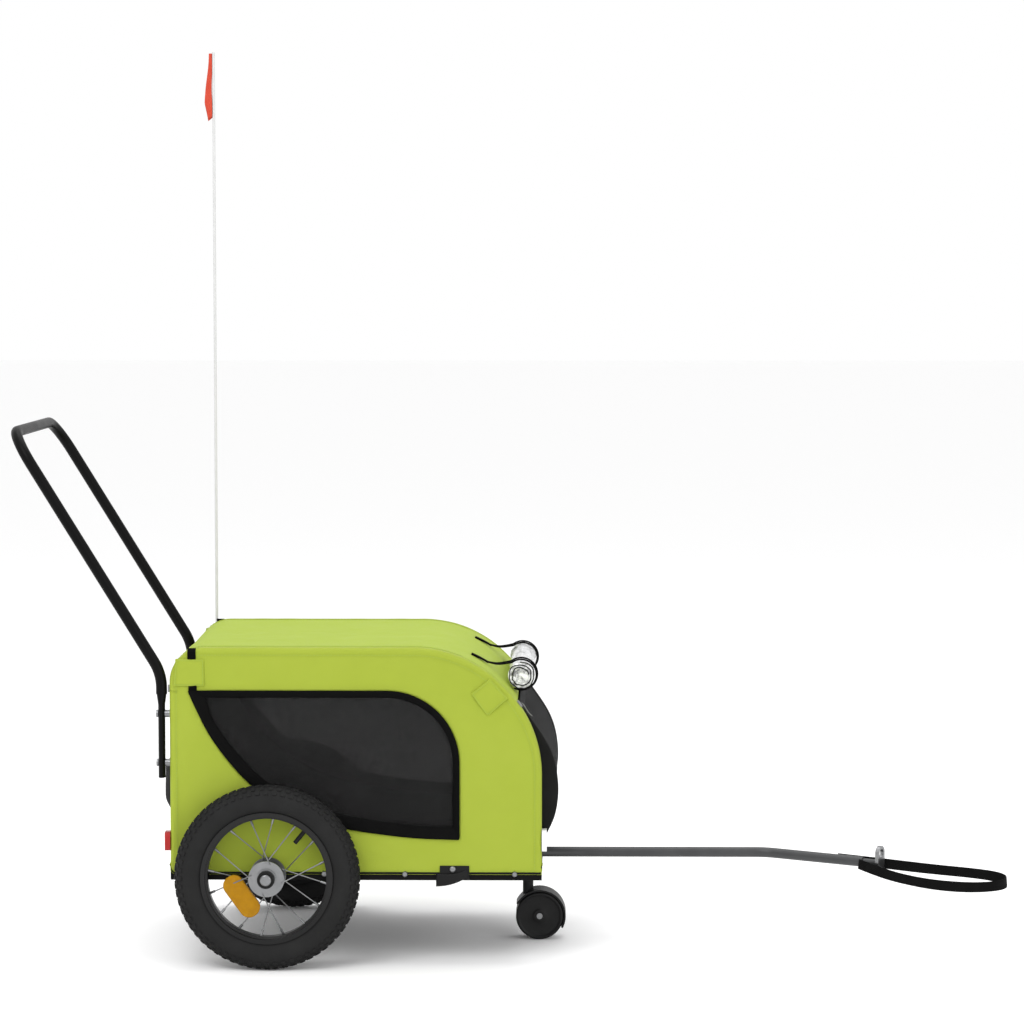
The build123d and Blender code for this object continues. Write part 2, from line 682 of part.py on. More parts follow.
with BuildPart() as tow_eye:
    with BuildSketch(Plane(origin=eye_foot - arm_dir * EYE_T / 2, x_dir=(sin(turn), cos(turn), 0), z_dir=arm_dir)):
        with Locations((0, EYE_CENTRE_Z - TOW_Z)):
            Circle(EYE_W / 2)
            Rectangle(EYE_W, EYE_CENTRE_Z - EYE_FOOT_Z, align=(Align.CENTER, Align.MAX))
            Circle(EYE_HOLE_R, mode=Mode.SUBTRACT)
    extrude(amount=EYE_T)
save(tow_eye, "tow_eye")

# ---------------------------------------------------------------- safety strap
strap_points = [Vector(AXLE_X + x, y, z) for x, y, z in STRAP_ROUTE]
strap_radii = []
for before, corner, after in zip(strap_points, strap_points[1:], strap_points[2:]):
    turned = (corner - before).get_angle(after - corner)
    shorter = min((corner - before).length, (after - corner).length)
    strap_radii.append(0.45 * shorter / tan(radians(turned / 2)))
print("strap radii", [round(r) for r in strap_radii])
with BuildPart() as strap:
    with BuildLine():
        route = FilletPolyline(*strap_points, radius=strap_radii)
    with BuildSketch(Plane(origin=route @ 0, x_dir=(0, 0, 1), z_dir=route % 0)):
        Rectangle(STRAP_W, STRAP_T)
    sweep(path=route)
print("strap length", round(route.length), "volume ratio", strap.part.volume / (route.length * STRAP_W * STRAP_T))
save(strap, "safety_strap")

# ---------------------------------------------------------------- wheels
SEAT_IN = RIM_SEAT_R - RIM_T
WELL_R = RIM_SEAT_R - WELL_DEPTH
half_rim = RIM_WIDTH / 2
tyre_mid = (WHEEL_R + RIM_SEAT_R) / 2
tyre_tall = (WHEEL_R - RIM_SEAT_R) / 2


def spoke_ends(index):
    """Hub end and rim end of a spoke's straight run, in the wheel's frame with z outwards."""
    face = 1 if index % 2 == 0 else -1
    outside = index % 4 < 2
    rim_angle = SPOKE_START + index * 360 / SPOKES
    hub_angle = rim_angle + (-SPOKE_LEAN if outside else SPOKE_LEAN)
    hub = at_angle((0, 0), SPOKE_CIRCLE_R, hub_angle)
    rim = at_angle((0, 0), WELL_R + EDGE_GAP, rim_angle)
    # a spoke runs outside or inside its flange, clear of the flange's edge
    level = FLANGE_SPREAD + 2.6 * SPOKE_R if outside else FLANGE_SPREAD - HUB_FLANGE_T - 1.1 * SPOKE_R
    return Vector(*hub, face * level), Vector(*rim, face * RIM_T)


for name, side in SIDES:
    # z of the wheel's own frame points away from the trailer, and x points forward
    hub_plane = Plane(origin=(AXLE_X, side * TRACK / 2, AXLE_Z), x_dir=(1, 0, 0), z_dir=(0, side, 0))
    section = Plane(origin=hub_plane.origin, x_dir=(1, 0, 0), z_dir=(0, 0, 1 if side < 0 else -1))
    axle_line = Axis(hub_plane.origin, (0, side, 0))

    with BuildPart() as tyre:
        with BuildSketch(section):
            with Locations((tyre_mid, 0)):
                Ellipse(tyre_tall, TYRE_WIDTH / 2)
                Ellipse(tyre_tall - TYRE_WALL, TYRE_WIDTH / 2 - TYRE_WALL, mode=Mode.SUBTRACT)
            with Locations((RIM_SEAT_R, 0)):
                Rectangle(4 * TYRE_WALL, WELL_W + 2 * TYRE_WALL, mode=Mode.SUBTRACT)
            with GridLocations(0, RIM_WIDTH - 2 * RIM_T - 4.4, 1, 2):
                with Locations((RIM_SEAT_R + 2.3, 0)):
                    Circle(2.2)
        revolve(axis=axle_line)
    save(tyre, f"{name}_tyre")

    with BuildPart() as tube:
        with BuildSketch(section):
            with Locations((tyre_mid + TYRE_WALL, 0)):
                Ellipse(tyre_tall - 2.5 * TYRE_WALL, TYRE_WIDTH / 2 - TYRE_WALL - EDGE_GAP)
        revolve(axis=axle_line)
        with BuildSketch(section):
            with Locations((tyre_mid + TYRE_WALL, 0)):
                Ellipse(
                    tyre_tall - 2.5 * TYRE_WALL - EDGE_GAP, TYRE_WIDTH / 2 - TYRE_WALL - 2 * EDGE_GAP
                )
        revolve(axis=axle_line, mode=Mode.SUBTRACT)
        stem_foot = hub_plane.from_local_coords(Vector(*at_angle((0, 0), WELL_R - VALVE_L, VALVE_ANGLE)))
        stem_dir = stem_foot - hub_plane.origin
        with BuildSketch(Plane(origin=stem_foot, z_dir=stem_dir)):
            Circle(VALVE_R)
        extrude(amount=tyre_mid + TYRE_WALL - tyre_tall + 2.5 * TYRE_WALL - WELL_R + VALVE_L + EDGE_GAP / 2)
    save(tube, f"{name}_inner_tube")

    # the room a spoke, its elbow and its nipple need in the pieces they pass through
    with BuildPart() as spoke_room:
        for index in range(SPOKES):
            hub_end, rim_end = spoke_ends(index)
            start = hub_plane.from_local_coords(hub_end)
            run = hub_plane.from_local_coords(rim_end) - start
            with BuildSketch(Plane(origin=start, z_dir=run)):
                Circle(SPOKE_R + BOLT_GAP)
            extrude(amount=run.length)
            with BuildSketch(Plane(origin=start + run - run.normalized() * NIPPLE_L, z_dir=run)):
                Circle(NIPPLE_R + BOLT_GAP)
            extrude(amount=2 * NIPPLE_L)
            face = 1 if index % 2 == 0 else -1
            flange = face * (FLANGE_SPREAD - HUB_FLANGE_T / 2)
            with BuildSketch(hub_plane.offset(flange - HUB_FLANGE_T)):
                with Locations((hub_end.X, hub_end.Y)):
                    Circle(SPOKE_R + BOLT_GAP)
            extrude(amount=2 * HUB_FLANGE_T)

    with BuildPart() as rim:
        with BuildSketch(section):
            with BuildLine():
                Polyline(
                    (RIM_SEAT_R + FLANGE_H, half_rim),
                    (RIM_SEAT_R, half_rim - RIM_T),
                    (RIM_SEAT_R, WELL_W / 2),
                    (WELL_R, WELL_W / 2 - RIM_T),
                    (WELL_R, RIM_T - WELL_W / 2),
                    (RIM_SEAT_R, -WELL_W / 2),
                    (RIM_SEAT_R, RIM_T - half_rim),
                    (RIM_SEAT_R + FLANGE_H, -half_rim),
                    (RIM_SEAT_R + FLANGE_H, -half_rim - RIM_T),
                    (SEAT_IN, -half_rim),
                    (SEAT_IN, -WELL_W / 2 - RIM_T),
                    (WELL_R - RIM_T, -WELL_W / 2),
                    (WELL_R - RIM_T, WELL_W / 2),
                    (SEAT_IN, WELL_W / 2 + RIM_T),
                    (SEAT_IN, half_rim),
                    (RIM_SEAT_R + FLANGE_H, half_rim + RIM_T),
                    close=True,
                )
            make_face()
        revolve(axis=axle_line)
        with BuildSketch(Plane(origin=stem_foot, z_dir=stem_dir)):
            Circle(VALVE_R + BOLT_GAP)
        extrude(amount=2 * VALVE_L, mode=Mode.SUBTRACT)
        add(spoke_room.part, mode=Mode.SUBTRACT)
    save(rim, f"{name}_rim")

    with BuildPart() as spokes:
        for index in range(SPOKES):
            hub_end, rim_end = spoke_ends(index)
            start = hub_plane.from_local_coords(hub_end)
            run = hub_plane.from_local_coords(rim_end) - start
            with BuildSketch(Plane(origin=start, z_dir=run)):
                Circle(SPOKE_R)
            extrude(amount=run.length)
            with BuildSketch(Plane(origin=start + run - run.normalized() * NIPPLE_L, z_dir=run)):
                Circle(NIPPLE_R)
            extrude(amount=NIPPLE_L)
            face = 1 if index % 2 == 0 else -1
            far_side = FLANGE_SPREAD if abs(hub_end.Z) < FLANGE_SPREAD else FLANGE_SPREAD - HUB_FLANGE_T
            head = face * (far_side + (BOLT_GAP if abs(hub_end.Z) < FLANGE_SPREAD else -BOLT_GAP))
            with BuildSketch(hub_plane.offset(min(head, hub_end.Z))):
                with Locations((hub_end.X, hub_end.Y)):
                    Circle(SPOKE_R)
            extrude(amount=abs(head - hub_end.Z))
            outward = 1 if abs(head) > abs(hub_end.Z) else -1
            with BuildSketch(hub_plane.offset(head)):
                with Locations((hub_end.X, hub_end.Y)):
                    Circle(NIPPLE_R)
            extrude(amount=face * outward * SPOKE_R)
    save(spokes, f"{name}_spokes")

    with BuildPart() as hub:
        with BuildSketch(hub_plane.offset(-HUB_HALF)):
            Circle(HUB_SHELL_R)
        extrude(amount=2 * HUB_HALF)
        for z in (-FLANGE_SPREAD, FLANGE_SPREAD - HUB_FLANGE_T):
            with BuildSketch(hub_plane.offset(z)):
                Circle(HUB_FLANGE_R)
            extrude(amount=HUB_FLANGE_T)
        with BuildSketch(hub_plane.offset(-HUB_HALF)):
            Circle(BEARING_R - 3 * RAIL_WALL)
        extrude(amount=2 * HUB_HALF, mode=Mode.SUBTRACT)
        for z in (-HUB_HALF, HUB_HALF - BEARING_W):
            with BuildSketch(hub_plane.offset(z)):
                Circle(BEARING_R)
            extrude(amount=BEARING_W, mode=Mode.SUBTRACT)
        add(spoke_room.part, mode=Mode.SUBTRACT)
    save(hub, f"{name}_hub")

    with BuildPart() as bearings:
        for z in (-HUB_HALF, HUB_HALF - BEARING_W):
            with BuildSketch(hub_plane.offset(z)):
                Circle(BEARING_R)
                Circle(AXLE_R + RUN_GAP, mode=Mode.SUBTRACT)
            extrude(amount=BEARING_W)
    save(bearings, f"{name}_hub_bearings")

    receiver_out = TRACK / 2 - HUB_HALF - END_GAP
    receiver_in = receiver_out - RECEIVER_L
    receiver_plane = Plane(origin=(AXLE_X, side * receiver_in, AXLE_Z), x_dir=(1, 0, 0), z_dir=(0, side, 0))
    with BuildPart() as receiver:
        with BuildSketch(receiver_plane):
            Circle(RECEIVER_R)
        extrude(amount=RECEIVER_L)
        with BuildSketch(receiver_plane.offset(CABIN_HALF + END_GAP - receiver_in)):
            Circle(RECEIVER_R + COLLAR_T / 2)
        extrude(amount=COVER_T)
        with BuildSketch(receiver_plane.offset(COVER_T)):
            Circle(AXLE_R + RUN_GAP)
        extrude(amount=RECEIVER_L, mode=Mode.SUBTRACT)
    save(receiver, f"{name}_axle_receiver")

    axle_in = receiver_in + 2 * COVER_T - TRACK / 2
    collar_in = HUB_HALF + END_GAP
    collar_out = collar_in + COLLAR_T
    with BuildPart() as axle:
        with BuildSketch(hub_plane.offset(axle_in)):
            Circle(AXLE_R)
        extrude(amount=collar_in - axle_in)
        with BuildSketch(hub_plane.offset(collar_in)):
            Circle(COLLAR_R)
        extrude(amount=COLLAR_T)
        with BuildSketch(hub_plane.offset(collar_out - BUTTON_TRAVEL - 1)):
            Circle(BUTTON_R + RUN_GAP)
        extrude(amount=BUTTON_TRAVEL + 1, mode=Mode.SUBTRACT)
        with BuildSketch(hub_plane.offset(collar_out - PUSHROD_L - 2 * BUTTON_TRAVEL)):
            Circle(PUSHROD_R + RUN_GAP)
        extrude(amount=PUSHROD_L + 2 * BUTTON_TRAVEL, mode=Mode.SUBTRACT)
    save(axle, f"{name}_axle")

    with BuildPart() as button:
        with BuildSketch(hub_plane.offset(collar_out - PUSHROD_L)):
            Circle(PUSHROD_R)
        extrude(amount=PUSHROD_L)
        with BuildSketch(hub_plane.offset(collar_out - END_GAP)):
            Circle(BUTTON_R)
        extrude(amount=BUTTON_T)
        fillet(button.faces().sort_by(axle_line)[-1].edges(), BUTTON_TRAVEL)
    save(button, f"{name}_release_button")

    with BuildPart() as reflector:
        place = at_angle((0, 0), REFLECTOR_R, REFLECTOR_ANGLE)
        with BuildSketch(hub_plane.offset(half_rim - REFLECTOR_T)):
            with Locations(Location((*place, 0), (0, 0, REFLECTOR_ANGLE + 90))):
                RectangleRounded(REFLECTOR_L, REFLECTOR_W, REFLECTOR_W / 2 - 1)
        extrude(amount=REFLECTOR_T)
        fillet(reflector.faces().sort_by(axle_line)[-1].edges(), REFLECTOR_T / 3)
        add(spoke_room.part, mode=Mode.SUBTRACT)
    save(reflector, f"{name}_wheel_reflector")

# ---------------------------------------------------------------- caster
stem_x = AXLE_X + CASTER_STEM
pivot_x = stem_x + CASTER_TRAIL
stem_top = TOW_Z - SOCKET_R - END_GAP
with BuildPart() as caster_socket:
    with BuildSketch(Plane.XY.offset(CASTER_TUBE_BOTTOM)):
        with Locations((stem_x, 0)):
            Circle(CASTER_TUBE_R)
            Circle(BUSH_R, mode=Mode.SUBTRACT)
    extrude(amount=TOW_Z - CASTER_TUBE_BOTTOM)
    with BuildSketch(Plane.YZ.offset(AXLE_X + SOCKET_START)):
        with Locations((0, TOW_Z)):
            Circle(SOCKET_R)
    extrude(amount=CABIN_FRONT - SOCKET_START, mode=Mode.SUBTRACT)
save(caster_socket, "caster_socket")

with BuildPart() as caster_bushes:
    for z in (CASTER_TUBE_BOTTOM, stem_top - BUSH_H - END_GAP):
        with BuildSketch(Plane.XY.offset(z)):
            with Locations((stem_x, 0)):
                Circle(BUSH_R)
                Circle(STEM_R + RUN_GAP, mode=Mode.SUBTRACT)
        extrude(amount=BUSH_H)
save(caster_bushes, "caster_bushes")

hood_r = CASTER_R + HOOD_GAP + HOOD_T
with BuildPart() as fork:
    with BuildSketch(Plane.XZ.offset(-CASTER_HALF)):
        with Locations((pivot_x, CASTER_R)):
            Circle(hood_r)
            Circle(hood_r - HOOD_T, mode=Mode.SUBTRACT)
            with Locations(Location((0, 0, 0), (0, 0, HOOD_TILT))):
                Rectangle(3 * hood_r, hood_r, align=(Align.CENTER, Align.MAX), mode=Mode.SUBTRACT)
    extrude(amount=2 * CASTER_HALF)
    with BuildSketch(Plane.XZ.offset(-WEB_HALF + END_GAP)):
        with Locations((pivot_x, CASTER_R)):
            Circle(hood_r - HOOD_T)
            with Locations(Location((0, 0, 0), (0, 0, HOOD_TILT))):
                Rectangle(3 * hood_r, hood_r, align=(Align.CENTER, Align.MAX), mode=Mode.SUBTRACT)
            Circle(3 * PIVOT_R)
    extrude(amount=2 * (WEB_HALF - END_GAP))
    with BuildSketch(Plane.XY.offset(CASTER_R)):
        with Locations((stem_x, 0)):
            Circle(STEM_R)
    extrude(amount=stem_top - CASTER_R)
    with BuildSketch(Plane.XY.offset(CASTER_R + hood_r / 2)):
        with Locations((stem_x, 0)):
            Circle(NECK_R)
    extrude(amount=CASTER_TUBE_BOTTOM - END_GAP - CASTER_R - hood_r / 2)
    for y in (-CASTER_HALF - END_GAP, WEB_HALF - END_GAP):
        with BuildSketch(Plane.XZ.offset(-y - CASTER_HALF + WEB_HALF - 2 * END_GAP)):
            with Locations((pivot_x, CASTER_R)):
                Circle(CASTER_R + HOOD_GAP)
        extrude(amount=CASTER_HALF - WEB_HALF + 2 * END_GAP, mode=Mode.SUBTRACT)
    with BuildSketch(Plane.XZ.offset(-CASTER_HALF)):
        with Locations((pivot_x, CASTER_R)):
            Circle(PIVOT_R + RUN_GAP)
    extrude(amount=2 * CASTER_HALF, mode=Mode.SUBTRACT)
save(fork, "caster_fork")

with BuildPart() as caster_wheels:
    for top in (-WEB_HALF, CASTER_HALF):
        with BuildSketch(Plane.XZ.offset(-top)):
            with Locations((pivot_x, CASTER_R)):
                Circle(CASTER_R)
                Circle(PIVOT_R, mode=Mode.SUBTRACT)
        extrude(amount=CASTER_HALF - WEB_HALF)
    fillet(caster_wheels.edges().filter_by(lambda e: e.geom_type == GeomType.CIRCLE and e.radius > PIVOT_R + 1), 2)
save(caster_wheels, "caster_wheels")

with BuildPart() as caster_axle:
    with BuildSketch(Plane.XZ.offset(-CASTER_HALF)):
        with Locations((pivot_x, CASTER_R)):
            Circle(PIVOT_R)
    extrude(amount=2 * CASTER_HALF)
    with BuildSketch(Plane.XZ.offset(-CASTER_HALF - 1.5)):
        with Locations((pivot_x, CASTER_R)):
            Circle(PIVOT_R + 1)
    extrude(amount=1.5)
    with BuildSketch(Plane.XZ.offset(CASTER_HALF)):
        with Locations((pivot_x, CASTER_R)):
            Circle(PIVOT_R + 1)
    extrude(amount=1.5)
save(caster_axle, "caster_axle")

# ---------------------------------------------------------------- flag
flag_x = AXLE_X + FLAG_X
flag_y = CABIN_HALF + SLEEVE_R
with BuildPart() as sleeve:
    with BuildSketch(Plane.XY.offset(POLE_FOOT - SLEEVE_R)):
        with Locations((flag_x, flag_y)):
            Circle(SLEEVE_R)
    extrude(amount=SLEEVE_TOP - POLE_FOOT + SLEEVE_R)
    with BuildSketch(Plane.XY.offset(POLE_FOOT - END_GAP)):
        with Locations((flag_x, flag_y)):
            Circle(POLE_R + RUN_GAP)
    extrude(amount=SLEEVE_TOP, mode=Mode.SUBTRACT)
save(sleeve, "flag_sleeve")

with BuildPart() as pole:
    with BuildSketch(Plane.XY.offset(POLE_FOOT)):
        with Locations((flag_x, flag_y)):
            Circle(POLE_R)
    extrude(amount=POLE_TOP - POLE_FOOT)
save(pole, "flag_pole")

with BuildPart() as flag:
    with BuildSketch(Plane.XY.offset(POLE_TOP - FLAG_H)):
        with Locations((flag_x - POLE_R, flag_y)):
            Rectangle(FLAG_W, FLAG_T, align=(Align.MAX, Align.CENTER))
    extrude(amount=FLAG_H)
save(flag, "flag")

# ---------------------------------------------------------------- reflectors and sliders
lamp_y = CABIN_HALF - LAMP_W / 2 - EDGE_GAP
with BuildPart() as rear_lamps:
    with BuildSketch(Plane.YZ.offset(REAR_X - REAR_LAMP_T)):
        with Locations((-lamp_y, REAR_LAMP_Z), (lamp_y, REAR_LAMP_Z)):
            RectangleRounded(LAMP_W, REAR_LAMP_H, COVER_T)
    extrude(amount=REAR_LAMP_T)
save(rear_lamps, "rear_reflectors")

with BuildPart() as front_lamps:
    with BuildSketch(Plane.YZ.offset(FRONT_X)):
        with Locations((-lamp_y, FRONT_LAMP_Z), (lamp_y, FRONT_LAMP_Z)):
            RectangleRounded(LAMP_W, FRONT_LAMP_H, COVER_T)
    extrude(amount=FRONT_LAMP_T)
save(front_lamps, "front_reflectors")

slope_out = Vector(door_top_x - chin_x, 0, FRONT_DOOR_TOP - chin_z).normalized()
with BuildPart() as sliders:
    foot = Vector(door_top_x, -HOOP_Y, FRONT_DOOR_TOP)
    with BuildSketch(Plane(origin=foot, x_dir=(0, 1, 0), z_dir=slope_out)):
        RectangleRounded(5.0, 12.0, 1.0)
    extrude(amount=COVER_T)
    with BuildSketch(Plane.YZ.offset(REAR_X - COVER_T)):
        with Locations((-HOOP_Y, REAR_DOOR_TOP - SEAM)):
            RectangleRounded(5.0, 12.0, 1.0)
    extrude(amount=COVER_T)
save(sliders, "zip_sliders")
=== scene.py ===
import math

import bmesh
import bpy
from mathutils import Matrix, Vector, noise


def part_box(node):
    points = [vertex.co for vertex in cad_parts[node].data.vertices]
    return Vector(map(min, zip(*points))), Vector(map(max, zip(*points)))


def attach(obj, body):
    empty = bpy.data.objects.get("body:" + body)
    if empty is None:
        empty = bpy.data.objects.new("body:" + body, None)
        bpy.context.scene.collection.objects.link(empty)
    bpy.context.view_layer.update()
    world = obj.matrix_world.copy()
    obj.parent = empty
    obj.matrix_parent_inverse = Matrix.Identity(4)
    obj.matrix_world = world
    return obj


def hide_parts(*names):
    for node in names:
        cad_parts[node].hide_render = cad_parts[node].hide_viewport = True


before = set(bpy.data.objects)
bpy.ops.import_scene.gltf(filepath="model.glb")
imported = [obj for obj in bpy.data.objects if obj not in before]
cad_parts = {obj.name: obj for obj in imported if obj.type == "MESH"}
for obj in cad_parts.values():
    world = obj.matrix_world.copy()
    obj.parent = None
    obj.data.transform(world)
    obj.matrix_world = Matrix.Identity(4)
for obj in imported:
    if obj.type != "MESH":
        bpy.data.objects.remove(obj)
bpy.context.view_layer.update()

# ---- Camera: a long lens at knee height, level with the trailer's right side.
camera_data = bpy.data.cameras.new("camera")
camera_data.lens = 117.5
camera_data.sensor_width = 36.0
camera_data.clip_end = 60.0
camera = bpy.data.objects.new("camera", camera_data)
bpy.context.collection.objects.link(camera)
camera.location = (0.169, -5.604, 1.113)
camera.rotation_euler = (math.radians(86.01), 0.0, math.radians(0.74))
bpy.context.scene.camera = camera


# ---- Safety strap: flat black webbing, sewn into a loop that goes round the bicycle's
# frame. Both ends are riveted to the tow arm just behind its eye.
class Amount:
    """One value of a shader. Arithmetic on it adds Math nodes."""

    def __init__(self, tree, socket):
        self.tree = tree
        self.socket = socket

    def join(self, operation, other=None, reflected=False):
        node = self.tree.nodes.new("ShaderNodeMath")
        node.operation = operation
        pair = (other, self) if reflected else (self, other)
        for slot, item in zip(node.inputs, pair):
            if isinstance(item, Amount):
                self.tree.links.new(item.socket, slot)
            elif item is not None:
                slot.default_value = item
        return Amount(self.tree, node.outputs[0])

    def __add__(self, other):
        return self.join("ADD", other)

    def __sub__(self, other):
        return self.join("SUBTRACT", other)

    def __mul__(self, other):
        return self.join("MULTIPLY", other)

    def __truediv__(self, other):
        return self.join("DIVIDE", other)

    def __pow__(self, other):
        return self.join("POWER", other)

    def __gt__(self, other):
        return self.join("GREATER_THAN", other)

    def __lt__(self, other):
        return self.join("LESS_THAN", other)

    def __rsub__(self, other):
        return self.join("SUBTRACT", other, True)

    def __rtruediv__(self, other):
        return self.join("DIVIDE", other, True)

    __radd__ = __add__
    __rmul__ = __mul__

    def sin(self):
        return self.join("SINE")

    def abs(self):
        return self.join("ABSOLUTE")


class Finish:
    """A surface finish: a node material whose fixed values are set on the shader."""

    def __init__(self, name, colour, roughness, **fixed):
        self.material = bpy.data.materials.new(name)
        self.material.use_nodes = True
        self.tree = self.material.node_tree
        self.shader = self.tree.nodes["Principled BSDF"]
        self.shader.inputs["Base Color"].default_value = (*colour, 1.0)
        self.shader.inputs["Roughness"].default_value = roughness
        for socket, value in fixed.items():
            self.shader.inputs[socket.replace("_", " ")].default_value = value

    def node(self, kind, settings=None, inputs=None, output=0):
        node = self.tree.nodes.new(kind)
        for key, value in (settings or {}).items():
            if key == "stops":
                for stop, (at, colour) in zip(node.color_ramp.elements, value):
                    stop.position = at
                    stop.color = (*colour, 1.0)
            else:
                setattr(node, key, value)
        for key, value in (inputs or {}).items():
            if isinstance(value, Amount):
                self.tree.links.new(value.socket, node.inputs[key])
            else:
                node.inputs[key].default_value = value
        return Amount(self.tree, node.outputs[output])

    def place(self, output="Object", centre=(0, 0, 0), scale=(1, 1, 1)):
        source = self.node("ShaderNodeTexCoord", output=output)
        back = tuple(-c * s for c, s in zip(centre, scale))
        return self.node("ShaderNodeMapping", {}, {"Vector": source, "Location": back, "Scale": scale})

    def split(self, vector):
        node = self.tree.nodes.new("ShaderNodeSeparateXYZ")
        self.tree.links.new(vector.socket, node.inputs[0])
        return [Amount(self.tree, socket) for socket in node.outputs]

    def cloud(self, size, detail=3.0, vector=None):
        """Soft random mottling, about size metres across."""
        vector = vector or self.place()
        return self.node("ShaderNodeTexNoise", {}, {"Vector": vector, "Scale": 1 / size, "Detail": detail})

    def tint(self, factor, low, high):
        """A base colour between low and high."""
        mix = self.node(
            "ShaderNodeMix",
            {"data_type": "RGBA"},
            {0: factor, 6: (*low, 1.0), 7: (*high, 1.0)},
            output=2,
        )
        self.feed("Base Color", mix)

    def feed(self, socket, value):
        self.tree.links.new(value.socket, self.shader.inputs[socket])

    def relief(self, height, depth, strength=1.0):
        bump = self.node("ShaderNodeBump", {}, {"Height": height, "Distance": depth, "Strength": strength})
        self.feed("Normal", bump)


def cloth(columns, rows, place, flip=False):
    """A grid shaped by place(u, v), with u and v from 0 to 1, and matching UVs."""
    shape = bmesh.new()
    bmesh.ops.create_grid(shape, x_segments=columns, y_segments=rows, size=0.5)
    layer = shape.loops.layers.uv.new("UVMap")
    for face in shape.faces:
        for loop in face.loops:
            loop[layer].uv = (loop.vert.co.x + 0.5, loop.vert.co.y + 0.5)
    for vert in shape.verts:
        vert.co = place(vert.co.x + 0.5, vert.co.y + 0.5)
    bmesh.ops.remove_doubles(shape, verts=shape.verts, dist=2e-6)
    if flip:
        bmesh.ops.reverse_faces(shape, faces=shape.faces)
    return shape


def piece(name, shape, finishes, body, smooth=True):
    """Makes an object of a bmesh, gives it its finishes and its body."""
    mesh = bpy.data.meshes.new(name)
    shape.to_mesh(mesh)
    shape.free()
    for polygon in mesh.polygons:
        polygon.use_smooth = smooth
    made = bpy.data.objects.new(name, mesh)
    bpy.context.collection.objects.link(made)
    for finish in finishes if isinstance(finishes, (list, tuple)) else [finishes]:
        mesh.materials.append(finish.material)
    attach(made, body)
    return made


def webbing_finish(name, colour, paler, length, width):
    """Woven webbing: fine ribs across it and a herringbone along it, on its own UVs."""
    finish = Finish(name, colour, 0.75, Specular_IOR_Level=0.06)
    u, v, _ = finish.split(finish.place("UV", scale=(length, width, 1)))
    ribs = (u * 3100).sin() * 0.5 + ((v * 2 * math.pi * 700).abs() + u * 1500).sin() * 0.5
    finish.tint(ribs * 0.3 + finish.cloud(0.02) * 0.6, colour, paler)
    finish.relief(ribs, 0.0003)
    return finish


STRAP_WIDTH = 0.017
STRAP_THICK = 0.0022
strap_route = [
    (0.643, -0.058, 0.146),
    (0.680, -0.079, 0.1455),
    (0.716, -0.094, 0.1435),
    (0.793, -0.116, 0.138),
    (0.868, -0.122, 0.132),
    (0.903, -0.140, 0.129),
    (0.913, -0.170, 0.127),
    (0.894, -0.199, 0.125),
    (0.845, -0.209, 0.124),
    (0.786, -0.195, 0.126),
    (0.733, -0.160, 0.131),
    (0.697, -0.127, 0.138),
    (0.674, -0.100, 0.1435),
]
strap_curve = bpy.data.curves.new("strap_line", "CURVE")
strap_curve.dimensions = "3D"
strap_curve.resolution_u = 10
strap_spline = strap_curve.splines.new("NURBS")
strap_spline.points.add(len(strap_route) - 1)
for point, place in zip(strap_spline.points, strap_route):
    point.co = (*place, 1.0)
strap_spline.order_u = 3
strap_spline.use_endpoint_u = True
strap_line = bpy.data.objects.new("strap_line", strap_curve)
strap_path = [v.co.copy() for v in bpy.data.meshes.new_from_object(strap_line).vertices]
bpy.data.objects.remove(strap_line)


def along(path, u):
    """The point at a share u of a path's steps, and the direction there."""
    at = min(u, 0.999999) * (len(path) - 1)
    index = int(at)
    here = path[index].lerp(path[index + 1], at - index)
    before, after = path[max(index - 1, 0)], path[min(index + 2, len(path) - 1)]
    return here, (after - before).normalized()


def strap_place(u, v):
    here, forward = along(strap_path, u)
    side = forward.cross(Vector((0, 0, 1))).normalized()
    up = side.cross(forward)
    turn = 2 * math.pi * v
    across, through = math.cos(turn), math.sin(turn)
    across = math.copysign(abs(across) ** 0.35, across) * STRAP_WIDTH / 2
    through = math.copysign(abs(through) ** 0.5, through) * STRAP_THICK / 2
    lean = 0.0012 * math.sin(9 * math.pi * u)
    return here + up * across + side * (through + lean * across / STRAP_WIDTH)


webbing = webbing_finish("strap_webbing", (0.002, 0.002, 0.002), (0.008, 0.008, 0.008), 0.58, 0.04)
strap_shape = cloth(220, 24, strap_place)
bmesh.ops.holes_fill(strap_shape, edges=[e for e in strap_shape.edges if e.is_boundary], sides=0)
bmesh.ops.recalc_face_normals(strap_shape, faces=strap_shape.faces)
strap = piece("strap_webbing", strap_shape, webbing, "chassis")
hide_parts("safety_strap")
strap_length = sum((b - a).length for a, b in zip(strap_path, strap_path[1:]))

# ---- Base frame, hoops and roof bars: square and round steel tube with a satin black
# powder coat, bolted together. The pieces keep their CAD shapes.
coat = Finish("powder_coat", (0.003, 0.003, 0.003), 0.38, Specular_IOR_Level=0.08)
coat_grain = coat.cloud(0.0006, 2.0)
coat.relief(coat_grain, 0.00008)
coat.feed("Roughness", coat.cloud(0.05) * 0.18 + 0.3)


def coat_node(finish, *names):
    for name in names:
        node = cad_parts[name]
        if not node.data.materials:
            node.data.materials.append(finish.material)
        for slot in node.material_slots:
            slot.material = finish.material


coat_node(
    coat,
    "right_base_rail",
    "left_base_rail",
    "cross_tubes",
    "right_side_hoop",
    "left_side_hoop",
    "roof_bars",
    "tow_socket",
    "caster_socket",
    "right_axle_receiver",
    "left_axle_receiver",
    "push_handle",
)
board = Finish("floor_cover", (0.006, 0.006, 0.006), 0.8, Specular_IOR_Level=0.06)
board.relief(board.cloud(0.001), 0.0002)
coat_node(board, "floor_board")

